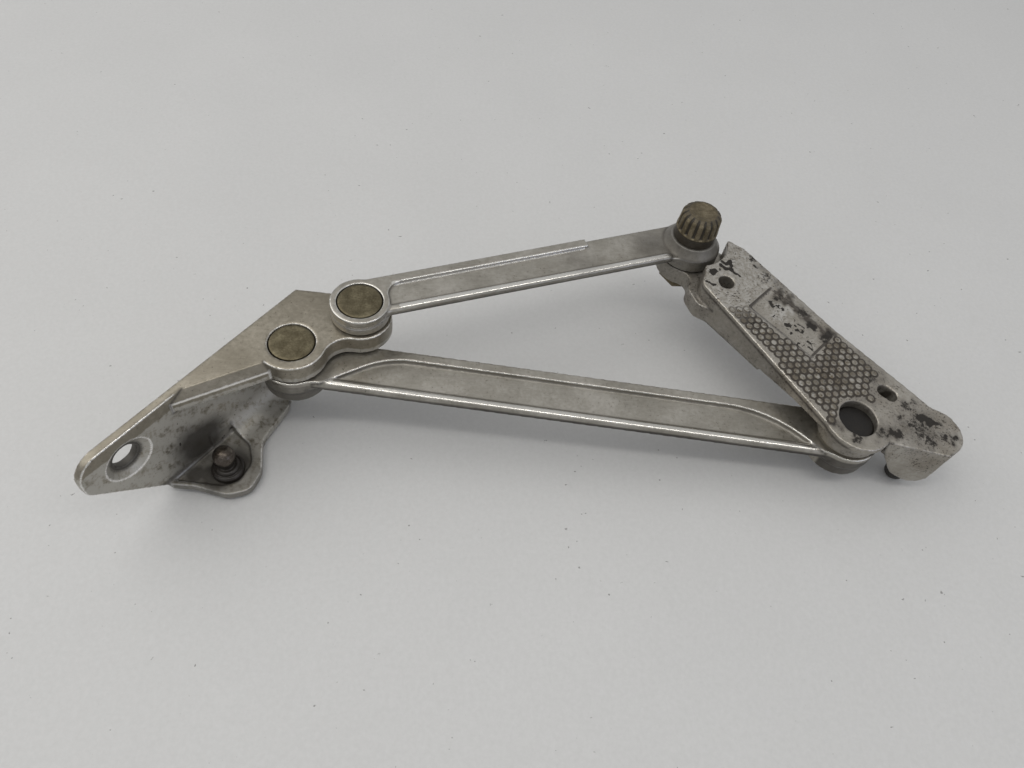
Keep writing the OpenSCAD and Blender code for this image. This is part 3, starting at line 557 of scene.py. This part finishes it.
def inRectangle(u, v):
    turn = math.radians(rectangle["turn"])
    a, b = u - rectangle["corner"][0], v - rectangle["corner"][1]
    p, q = a * math.cos(turn) + b * math.sin(turn), -a * math.sin(turn) + b * math.cos(turn)
    room = rectangle["margin"]
    return -room < p < rectangle["length"] + room and -rectangle["width"] - room < q < room


def honeycombPlaces(spec):
    lean = math.radians(spec["lean"])
    places = []
    for row in range(*spec["rows"]):
        for column in range(*spec["columns"]):
            along = (column + 0.5 * (row % 2)) * spec["pitch"]
            across = row * spec["pitch"] * math.sqrt(3) / 2
            u = spec["origin"][0] + along * math.cos(lean) - across * math.sin(lean)
            v = spec["origin"][1] + along * math.sin(lean) + across * math.cos(lean)
            back = spec["back"] + (spec["bend"] - u) * spec["flare"][0 if u < spec["bend"] else 1]
            clear = all(math.hypot(u - a, v - b) >= radius for a, b, radius in spec["holes"])
            if spec["from"] < u < spec["to"] and back < v < spec["front"] and clear and not inRectangle(u, v):
                places.append((u, v))
    return np.array(places)


def padCoords(points):  # u, v and height above the pad's face, mm
    x, y = points[:, 0] - bodyLower[0], points[:, 1] - bodyLower[1]
    u = x * pad["along"][0] + y * pad["along"][1]
    v = x * pad["across"][0] + y * pad["across"][1]
    return u, v, points[:, 2] - pad["height"] - pad["slope"] * u


bodyDirtAndShade = {"faceDepth": 0.6, "grooveR": 2.1, "bandDepth": 1.9, "bandWidth": 1.5, "front": 10.5, "sideDepth": 1.2,
            "noseEnd": -12.0, "paleFrom": 32.0}


def bodyMasks(points):  # grooves and a band under the front edge darkened with dirt and painted shade, a pale upper pad, sides darkened with soot and painted shade
    u, v, h = padCoords(points)
    dirtAndPaintedLight = bodyDirtAndShade
    top = np.clip(1.0 - np.abs(h) / dirtAndPaintedLight["faceDepth"], 0.0, 1.0)
    grooves = np.zeros(len(points))
    for a, b in honeycombPlaces(honeycombSpec):
        away = np.hypot(u - a, v - b)
        grooves = np.maximum(grooves, np.clip((dirtAndPaintedLight["grooveR"] - away) / 0.4, 0.0, 1.0))
    fade = np.clip((66 - u) / 26, 0.35, 1.0) * np.clip((v + 24) / 12, 0.6, 1.0)
    band = np.clip(1.0 - np.abs(h + dirtAndPaintedLight["bandDepth"]) / dirtAndPaintedLight["bandWidth"], 0.0, 1.0) * np.clip((v - dirtAndPaintedLight["front"]) / 1.5,
            0.0, 1.0)
    side = np.clip((-h - dirtAndPaintedLight["sideDepth"]) / 0.8, 0.0, 1.0) * np.clip((u - dirtAndPaintedLight["noseEnd"]) / 4, 0.0, 1.0)
    pale = 0.22 + 0.24 * np.clip((u - dirtAndPaintedLight["paleFrom"]) / 20, 0.0, 1.0)
    return {"grime": np.maximum(1.5 * grooves * fade * top, 0.75 * band), "oxide": pale * top, "soot": 0.34 * side}


# lumps and lines of tar and brown stains on the pad and the nose: u, v, radius, strength, or both ends and reach
tarMarks = [(71.8, -14.5, 3.4, 0.8), (54.7, -7.2, 3.4, 0.95), (31.9, -16.6, 6, 0.85), (38.3, -14.4, 5.4, 0.85),
            (46, -15.5, 6.5, 0.75), (56, -12, 6, 0.7),
            (-8.9, -2.7, 7, 0.66), (-10.1, -6.6, 7, 0.72), (-11.8, -9.8, 6, 0.7), (-7.3, -14.6, 5, 0.68),
            (-6.3, -21.8, 5.4, 0.68),
            (-12.4, -16.9, 5.4, 0.68), (-18, -26.5, 4.6, 0.72), (-17.5, -16.1, 5.4, 0.68), (-20, -17.3, 6, 0.68),
            (-21.6, -24.5, 4.6, 0.7),
            (-24.4, -26.9, 4.6, 0.7), (-22.6, -17.7, 5, 0.64), (-6.3, 7.4, 5.4, 0.7), (-3.9, 7, 4.2, 0.66),
            (2.2, 10.4, 5, 0.62), (-6, -25.8, 4.6, 0.66),
            (10, -18, 11, 0.6), (20, -16, 11, 0.6), (66, -14, 11, 0.58), (-14, -20, 16, 0.6), (52, 7, 7, 0.58),
            (76, -15.7, 8, 0.6)]
tarLines = [(79.9, -3.6, 78.0, -5.9, 1.5), (78.4, -1.0, 75.4, -2.6, 1.9), (78.0, -5.4, 76.0, -2.6, 1.4),
            (75.4, -2.6, 71.2, -3.9, 1.3), (77.3, 2.2, 78.6, 4.8, 1.4),
            (74.9, 11.0, 73.0, 9.7, 1.2), (-11.2, -21.8, -16.2, -25.2, 1.5), (-9.6, -4.2, -11.6, -8.8, 1.2)]
# flakes strewn in the shallow rectangle
flakes = np.random.default_rng(5)
for index in range(52):
    u = 42 + 6.5 * flakes.normal()
    v = -6.8 - 0.1 * (u - 42) + 2.7 * flakes.normal()
    turn, half = flakes.uniform(0, 3.14), flakes.uniform(0.2, 1.1)
    if 31 < u < 56:
        du, dv = half * math.cos(turn), half * math.sin(turn)
        tarLines.append((u - du, v - dv, u + du, v + dv, flakes.uniform(0.5, 0.85)))
stainMarks = [(58.2, -13.2, 4.5, 0.8), (52.9, -14.7, 5, 0.95), (48.2, -14.9, 5, 0.95), (43.2, -15.7, 5, 1),
              (39.7, -16.5, 5, 0.95), (33.4, -17.4, 6, 1.1),
              (38.3, -14.4, 4, 0.9), (-18.5, -20.4, 10, 0.6), (-10, -6, 9, 0.75), (-9, -2.5, 6, 0.7), (12, -17, 12, 0.55),
              (20, -13, 12, 0.5),
              (12, 3, 12, 0.4), (-6.5, 7, 6, 0.6), (1.6, 9, 6, 0.65), (60, -18, 9, 0.5), (70, -16, 8, 0.45),
              (-23, -26, 7, 0.5), (-13, -23, 8, 0.55)]
bodyBracketSpec = dict(
    castTone, material="weathered cast aluminium, body bracket", voxelMm=0.405, rubDir=124.0, dark="#8b867c",
    middle="#9b968d",
    film=0.5, filmMm=15.0, filmColour="#6d6253", oxideAndLightColour="#b0aea9", pits=0.9, pitFrom=0.575, grime=0.9,
    grimeAndShadeColour="#231b12", rubAndHighlightWidth=0.38, metal=0.8, extraMasks=bodyMasks,
    tarSpots=[(padPoint(u, v), radius, strength) for u, v, radius, strength in tarMarks],
    tarLines=[(padPoint(a, b), padPoint(c, d), reach) for a, b, c, d, reach in tarLines],
    grimeSpots=[(padPoint(u, v), radius, strength) for u, v, radius, strength in stainMarks]
    + [(padPoint(u, v), 1.3 * radius, 0.55) for u, v, radius, strength in tarMarks if u < 58]
    # the last two darken the walls of the deep hole and the slot: painted shade
    + [(padPoint(6, -10), 17.0, 0.5), (padPoint(-14, -16), 19.0, 0.55), (padPoint(0, 0, -2.5), 11.5, 1.1),
       (padPoint(2, -19.2, -4), 7.0, 1.3)],
    # dark lines along the shallow rectangle's edges: dirt and painted shade
    grimeAndShadeLines=[(padPoint(58.0, 2.2), padPoint(60.6, -11.5), 0.5), (padPoint(58.0, 2.2), padPoint(55.6, 1.9), 0.5),
                (padPoint(28.6, -4.2), padPoint(31.3, -18.0), 0.6), (padPoint(31.3, -18.0), padPoint(59.0, -12.6), 0.5)],
    oxideSpots=[(padPoint(50, -8.5), 14.0, 0.6)],
    dullSpots=[(padPoint(0, 0), 9.5, 1.0), (padPoint(2, -19.2), 6.5, 1.0), (padPoint(86, 4, -6), 22.0, 0.9)],
)
softenCasting("body_bracket", bodyBracketSpec)


def buildHoneycomb(spec):  # low six-sided studs
    up = Vector(pad["up"])
    along = (Vector(padPoint(10, 0)) - Vector(padPoint(0, 0))).normalized()
    across = up.cross(along)
    shape = bmesh.new()
    rng = np.random.default_rng(7)
    tones = []
    for u, v in honeycombPlaces(spec):
        centre = Vector(padPoint(u, v)) * mm
        size = spec["stud"] * (0.95 + 0.08 * rng.random())
        height = spec["height"] * (0.75 + 0.4 * rng.random())
        rings = []
        for radius, lift in ((1.0, -spec["sink"]), (1.0, height * 0.45), (0.93, height * 0.85), (0.78, height)):
            ring = []
            for k in range(12):
                g = math.radians(30 + 30 * k)
                reach = 0.5 * size * radius / math.cos(math.radians(30)) * (1.0 if k % 2 == 0 else 0.925)
                heading = along * math.cos(g) + across * math.sin(g)
                ring.append(shape.verts.new(centre + heading * reach * mm + up * lift * mm))
            rings.append(ring)
        for lower, upper in zip(rings, rings[1:]):
            for k in range(12):
                shape.faces.new((lower[k], lower[(k + 1) % 12], upper[(k + 1) % 12], upper[k]))
        shape.faces.new(rings[-1])
        shape.faces.new(rings[0][::-1])
        shade = rng.random()
        # stud feet darkened with dirt and painted shade, tops left paler
        tones += [1.0] * 12 + [0.9] * 12 + [0.34 + 0.2 * shade] * 12 + [0.1 + 0.35 * shade ** 2] * 12
    mesh = bpy.data.meshes.new("pad_honeycomb")
    shape.to_mesh(mesh)
    shape.free()
    tones = np.array(tones)
    setMask(mesh, "oxide", 0.5 - 0.3 * tones)
    setMask(mesh, "grime", tones)
    tone = dict(bodyBracketSpec, material="weathered cast aluminium, honeycomb", dark="#675f53", middle="#7b7467",
                light="#98938a")
    piece = showPiece("pad_honeycomb", mesh, castAluminium(tone["material"], tone), "body_bracket")
    print("honeycomb,", len(mesh.polygons), "faces")
    return piece


buildHoneycomb(honeycombSpec)


# Turned pieces: a rounded profile of (radius, height, rounding) in mm, spun about the node's own axis.
def roundCorners(profile, closed):
    out = []
    last = len(profile) - 1
    for i, (r, z, ease) in enumerate(profile):
        if ease <= 0 or (not closed and i in (0, last)):
            out.append((r, z))
            continue
        c = np.array((r, z))
        a = np.array(profile[i - 1][:2]) - c
        b = np.array(profile[(i + 1) % len(profile)][:2]) - c
        cut = min(ease, 0.45 * np.linalg.norm(a), 0.45 * np.linalg.norm(b))
        a, b = c + a / np.linalg.norm(a) * cut, c + b / np.linalg.norm(b) * cut
        for t in np.linspace(0, 1, 6):
            out.append(tuple((1 - t) ** 2 * a + 2 * t * (1 - t) * c + t * t * b))
    return out


def turnPiece(nodeName, profile, material, closed=False, segments=128, wave=None, dirtAndPaintedLight=None):
    low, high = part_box(nodeName)
    axis = (low + high) / 2
    line = roundCorners(profile, closed)
    shape = bmesh.new()
    rings = []
    for r, z in line:
        if r < 1e-6:
            rings.append([shape.verts.new((axis.x, axis.y, low.z + z * mm))])
            continue
        ring = []
        for k in range(segments):
            g = 2 * math.pi * k / segments
            reach = r - (wave(g, r, z) if wave else 0.0)
            ring.append(shape.verts.new((axis.x + reach * mm * math.cos(g), axis.y + reach * mm * math.sin(g),
                                         low.z + z * mm)))
        rings.append(ring)
    pairs = list(zip(rings, rings[1:])) + ([(rings[-1], rings[0])] if closed else [])
    for a, b in pairs:
        for k in range(segments):
            ring = [a[k % len(a)], a[(k + 1) % len(a)], b[(k + 1) % len(b)], b[k % len(b)]]
            shape.faces.new(list(dict.fromkeys(ring)))
    bmesh.ops.recalc_face_normals(shape, faces=shape.faces)
    mesh = bpy.data.meshes.new(nodeName + "_turned")
    shape.to_mesh(mesh)
    shape.free()
    if dirtAndPaintedLight:
        setMask(mesh, "grime", [dirtAndPaintedLight(v.co.x / mm - axis.x / mm, v.co.y / mm - axis.y / mm, (v.co.z - low.z) / mm)
                                for v in mesh.vertices])
    piece = showPiece(nodeName + "_turned", mesh, material, nodeName)
    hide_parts(nodeName)
    return piece


def nodeSize(nodeName):  # radius and height of a round node, mm
    low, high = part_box(nodeName)
    return (high.x - low.x) / 2 / mm, (high.z - low.z) / mm


# Riveted pins, cold headed and plated: the plating has gone a dull olive brown with a soft sheen.
pinSpec = {"headH": 3.0, "shankR": 5.0, "tailH": 1.4, "tailR": 6.6}
pinTone = {"dark": "#4d4737", "middle": "#615a48", "light": "#7b745f", "cloudMm": 4.0, "scuff": 0.3,
           "wornColour": "#b7ae98",
           "dirtAndShadeColour": "#241f17", "metal": 0.95, "rough": 0.42, "relief": 0.2}
pinSteel = agedSteel("plated steel, tarnished", pinTone)
for nodeName in ("lid_lower_pin", "lid_upper_pin"):
    r, h = nodeSize(nodeName)
    head = h - pinSpec["headH"]
    tail = [(pinSpec["shankR"], pinSpec["tailH"], 0.2), (pinSpec["tailR"], pinSpec["tailH"], 0.3),
            (pinSpec["tailR"], 0.0, 0.6)]
    foot = tail if nodeName == "lid_lower_pin" else [(pinSpec["shankR"], 0.0, 0.3)]
    turnPiece(nodeName, [(0, h, 0), (r - 1.0, h, 0.4), (r - 0.5, h - 0.06, 0.3), (r, h - 0.25, 0.3), (r, head, 0.2),
              (pinSpec["shankR"], head, 0.2)] + foot + [(0, 0, 0)], pinSteel)

# Pin at the bottom of the deep hole: the same pin, black with old grease.
greaseTone = dict(pinTone, dark="#0f0d0a", middle="#15120f", light="#211d18", wornColour="#38332b", metal=0.3, rough=0.5)
greasySteel = agedSteel("steel under old grease", greaseTone)
r, h = nodeSize("body_lower_pin")
turnPiece("body_lower_pin", [(0, h, 0), (r - 0.6, h, 0.5), (r, h - 0.5, 0.3), (r, h - 3.0, 0.2),
                             (pinSpec["shankR"], h - 3.0, 0.2),
          (pinSpec["shankR"], pinSpec["tailH"], 0.2), (pinSpec["tailR"], pinSpec["tailH"], 0.3),
          (pinSpec["tailR"], 0.0, 0.6), (0, 0, 0)],
          greasySteel)

# Splined bolt head and its collar: phosphated steel; oily dirt and painted shade darken the grooves, the head's foot
# and the collar.
boltSpec = {"grooves": 16, "depth": 0.75, "headR": 8.6, "topR": 8.1, "headH": 9.4, "shankR": 5.0}
boltTone = {"dark": "#554d3d", "middle": "#6b624f", "light": "#877d69", "cloudMm": 4.0, "scuff": 0.35,
            "wornColour": "#9c917a",
            "dirtAndShadeColour": "#241f18", "metal": 0.85, "rough": 0.5, "relief": 0.35}
boltSteel = agedSteel("phosphated steel, oily", boltTone)
h = nodeSize("body_upper_bolt")[1]
base = h - boltSpec["headH"]


def splineWave(g, r, z):  # groove depth around the head
    if z < base + 1.2 or r < 6.4:
        return 0.0
    t = abs(((g * boltSpec["grooves"] / (2 * math.pi)) % 1.0 + 0.5) % 1.0 - 0.5) * 2
    fade = min(1.0, (z - base - 1.2) / 0.6)
    return boltSpec["depth"] * fade * min(1.0, max(0.0, (0.46 - t) / 0.2))


def splineDirtAndShade(x, y, z):  # oily dirt and painted shade darken the grooves, the foot of the head and the top chamfer ring
    r = math.hypot(x, y)
    inGroove = splineWave(math.atan2(y, x), 8.0, z) / boltSpec["depth"] if r > 5.9 else 0.0
    return max(0.85 * inGroove, 0.7 if z < base + 1.0 else 0.0, 0.45 if 5.6 < r < 7.4 else 0.0)


headTop, headR, shankR = h - 2.0, boltSpec["headR"], boltSpec["shankR"]
turnPiece("body_upper_bolt", [(0, h - 0.15, 0), (4.2, h - 0.15, 0.3), (4.6, h, 0.2), (6.0, h, 0.4), (7.3, h - 0.9, 0.3),
                              (boltSpec["topR"], headTop, 0.5),
          (8.3, base + 4.0, 0.3), (8.5, base + 1.9, 0.3), (headR, base + 1.2, 0.3), (headR, base, 0.3), (shankR, base, 0.2),
          (shankR, 0.0, 0.6), (0, 0, 0)],
          boltSteel, segments=240, wave=splineWave, dirtAndPaintedLight=splineDirtAndShade)
# the collar under the head is darkened all over: dirt and painted shade
r, h = nodeSize("body_upper_collar")
turnPiece("body_upper_collar", [(5.0, 0.0, 0.1), (r, 0.0, 0.4), (r, h, 0.4), (5.0, h, 0.1)], boltSteel,
          closed=True,
          dirtAndPaintedLight=lambda x, y, z: 0.8)

# Ball stud: hardened ball on a stepped foot, brown with grease; its foot darkened with soot and painted shade.
ballTone = {"dark": "#3d372f", "middle": "#57504a", "light": "#80796f", "cloudMm": 3.5, "scuff": 0.3,
            "wornColour": "#a29b90",
            "dirtAndShadeColour": "#1a1612", "metal": 0.9, "rough": 0.34, "relief": 0.25}
ballSteel = agedSteel("hardened steel, greasy", ballTone)
ballSpec = {"footR": 6.0, "stepR": 4.5, "neckR": 2.6, "ballR": 4.0, "shankH": 2.6}
h = nodeSize("ball_stud")[1]
centre = h - ballSpec["ballR"]
start = math.asin(ballSpec["neckR"] / ballSpec["ballR"])
arc = [(ballSpec["ballR"] * math.sin(a), centre + ballSpec["ballR"] * math.cos(a), 0) for a in np.linspace(0,
        math.pi - start, 28)]
foot = ballSpec["shankH"]
turnPiece("ball_stud", arc + [(ballSpec["neckR"], foot + 4.2, 0.4), (3.8, foot + 4.2, 0.5),
                              (ballSpec["stepR"], foot + 3.6, 0.4), (ballSpec["stepR"], foot + 2.6, 0.4),
          (5.3, foot + 2.6, 0.5), (ballSpec["footR"], foot + 1.9, 0.5), (ballSpec["footR"], foot, 0.3), (4.0, foot, 0.2),
          (4.0, 0.0, 0.3), (0, 0, 0)],
          ballSteel, dirtAndPaintedLight=lambda x, y, z: 0.75 if z < centre - 1.0 else 0.0)

# Rubber stop under the nose.
rubber = mouldedRubber("natural rubber, moulded", {"dark": "#151413", "light": "#4b4742"})
r, h = nodeSize("stop_buffer")
seat = h - 4.0
turnPiece("stop_buffer", [(0, h, 0), (2.5, h, 0.3), (2.5, seat, 0.2), (r, seat, 0.6), (r, 1.4, 0.8), (r - 1.2, 0.0, 0.6),
                          (0, 0.0, 0)], rubber)

# Washers punched from rolled strip, grey and bright where they rub.
# Bushes pressed from bronze powder and oiled, a matt brown gold.
washerTone = {"dark": "#6f6a60", "middle": "#8d887e", "light": "#aca79c", "cloudMm": 4.0, "scuff": 0.5,
              "wornColour": "#c4c0b6",
              "dirtAndShadeColour": "#26211a", "metal": 0.95, "rough": 0.38, "relief": 0.2}
washerSteel = agedSteel("rolled washer steel", washerTone)
for nodeName in ("lid_lower_washer", "body_lower_washer", "lid_upper_washer", "body_upper_washer", "lid_lower_tail_washer",
                 "body_lower_tail_washer"):
    r, h = nodeSize(nodeName)
    bore = 5.04 if not nodeName.endswith("tail_washer") and nodeName != "lid_upper_washer" else 5.0
    turnPiece(nodeName, [(bore, 0.0, 0.08), (r, 0.0, 0.2), (r, h, 0.2), (bore, h, 0.08)], washerSteel,
              closed=True)
bronzeTone = {"dark": "#6b5330", "middle": "#8a6d42", "light": "#a88a5a", "cloudMm": 3.0, "scuff": 0.3,
              "wornColour": "#c2a574",
              "dirtAndShadeColour": "#2a2115", "metal": 0.95, "rough": 0.45, "relief": 0.2}
bronze = agedSteel("sintered bronze, oiled", bronzeTone)
for nodeName in ("lid_lower_bush", "body_lower_bush", "body_upper_bush"):
    r, h = nodeSize(nodeName)
    turnPiece(nodeName, [(5.04, 0.0, 0.1), (r, 0.0, 0.15), (r, h, 0.15), (5.04, h, 0.1)], bronze,
              closed=True)

# Solids whose shape is right as it is: edges eased, finish added.
for nodeName, material in (("body_upper_nut", boltSteel), ("lid_upper_pin_foot", pinSteel)):
    solid = cadNodes[nodeName]
    solid.modifiers.new("weld", "WELD").merge_threshold = 1e-6
    bevel = solid.modifiers.new("bevel", "BEVEL")
    bevel.width, bevel.segments, bevel.limit_method, bevel.angle_limit = 0.35 * mm, 3, "ANGLE", math.radians(40)
    solid.data.materials.clear()
    solid.data.materials.append(material)
print("turned pieces made")

# Floor: pale laminate board, tilted as the hinge lies on its stop and its shelf.
floorSpec = {"level": -40.3, "tilt": 0.068, "size": 3.0, "light": "#c1c1c0", "dark": "#bfbfbe", "speck": "#8e8e8b",
             "dust": "#5c5a56"}


def buildFloor(spec):
    half = spec["size"] / 2
    mesh = bpy.data.meshes.new("floor")
    corners = [(x * half, y * half, spec["level"] * mm + spec["tilt"] * x * half) for x,
               y in ((-1, -1), (1, -1), (1, 1), (-1, 1))]
    mesh.from_pydata(corners, [], [(0, 1, 2, 3)])
    floor = bpy.data.objects.new("floor", mesh)
    scene.collection.objects.link(floor)
    # Laminate, pressed with a fine orange-peel texture: matt, pale, with small scuffs.
    material, tree, shader, place = startMaterial("pressed laminate board")
    cloud = addNode(tree, "ShaderNodeTexNoise", {"Scale": perMm(60.0), "Detail": 5.0}, {"Vector": place})
    speck = addNode(tree, "ShaderNodeTexNoise", {"Scale": perMm(2.4), "Detail": 2.0}, {"Vector": place})
    colour = addNode(tree, "ShaderNodeValToRGB",
                     {"stops": [(0.35, hexToLinear(spec["dark"])), (0.65, hexToLinear(spec["light"]))]},
                     {"Fac": cloud.outputs["Fac"]})
    grain = addNode(tree, "ShaderNodeTexNoise", {"Scale": perMm(1.6), "Detail": 3.0, "Roughness": 0.7}, {"Vector": place})
    peel = addNode(tree, "ShaderNodeMapRange", {1: 0.3, 2: 0.7, 3: 0.0, 4: 0.14}, {0: grain.outputs["Fac"]})
    colour = addNode(tree, "ShaderNodeMix", {"data_type": "RGBA", 7: hexToLinear(spec["speck"])},
                     {0: peel.outputs[0], 6: colour.outputs[0]})
    dot = addNode(tree, "ShaderNodeMapRange", {1: 0.745, 2: 0.78, 3: 0.0, 4: 0.7}, {0: speck.outputs["Fac"]})
    colour = addNode(tree, "ShaderNodeMix", {"data_type": "RGBA", 7: hexToLinear(spec["dust"])},
                     {0: dot.outputs[0], 6: colour.outputs[2]})
    tree.links.new(colour.outputs[2], shader.inputs["Base Color"])
    matt = addNode(tree, "ShaderNodeMapRange", {1: 0.3, 2: 0.7, 3: 0.5, 4: 0.62}, {0: cloud.outputs["Fac"]})
    tree.links.new(matt.outputs[0], shader.inputs["Roughness"])
    mesh.materials.append(material)


buildFloor(floorSpec)

# Camera at the photograph's place.
cameraSpec = {"place": (-110.986, -212.672, 212.3585), "right": (0.99322503, 0.0, 0.11620686),
              "up": (-0.06822572, 0.80951025, 0.58312812),
              "forward": (0.09407064, 0.58710574, -0.80402585), "lens": 27.0}
lensData = bpy.data.cameras.new("camera")
lensData.lens, lensData.sensor_width, lensData.sensor_fit = cameraSpec["lens"], 36.0, "HORIZONTAL"
lensData.clip_start, lensData.clip_end = 0.01, 20.0
camera = bpy.data.objects.new("camera", lensData)
scene.collection.objects.link(camera)
right, up, back = Vector(cameraSpec["right"]), Vector(cameraSpec["up"]), -Vector(cameraSpec["forward"])
spot = Vector(cameraSpec["place"]) * mm
camera.matrix_world = Matrix(((right.x, up.x, back.x, spot.x), (right.y, up.y, back.y, spot.y),
                              (right.z, up.z, back.z, spot.z), (0, 0, 0, 1)))
scene.camera = camera

# Daylight in a pale room: a window's width of light on the left, a narrow ceiling light, a low cool fill on the right.
lampSpec = {"window": ((-0.85, 0.1, 0.9), (1.3, 1.3), 6.0, "#fffcf7"), "strip": ((-0.06, -0.32, 1.0), (1.5, 0.07), 2.7,
        "#fffdfa"),
            "fill": ((0.95, -0.75, 0.28), (0.6, 0.6), 1.3, "#d6e0ff")}
lampAim = Vector((-0.06, -0.03, -0.02))
for name, (place, size, power, colour) in lampSpec.items():
    data = bpy.data.lights.new(name, "AREA")
    data.shape, data.size, data.size_y, data.energy, data.color = "RECTANGLE", size[0], size[1], power, hexToLinear(colour)[:3]
    lamp = bpy.data.objects.new(name, data)
    lamp.location = place
    lamp.rotation_euler = (lampAim - Vector(place)).to_track_quat("-Z", "Y").to_euler()
    scene.collection.objects.link(lamp)
roomSpec = [(0.0, (0.4, 0.41, 0.44, 1)), (0.4, (0.54, 0.545, 0.555, 1)),
            (1.0, (0.68, 0.68, 0.68, 1))]  # from the horizon up
room = bpy.data.worlds.new("room")
room.use_nodes = True
scene.world = room
tree = room.node_tree
tree.nodes.clear()
heading = addNode(tree, "ShaderNodeTexCoord").outputs["Generated"]
split = addNode(tree, "ShaderNodeSeparateXYZ", {}, {0: heading})
sky = addNode(tree, "ShaderNodeValToRGB", {"stops": roomSpec}, {"Fac": split.outputs["Z"]})
glow = addNode(tree, "ShaderNodeBackground", {"Strength": 1.0}, {"Color": sky.outputs[0]})
addNode(tree, "ShaderNodeOutputWorld", {}, {"Surface": glow.outputs[0]})
print("stage, camera and lamps set")
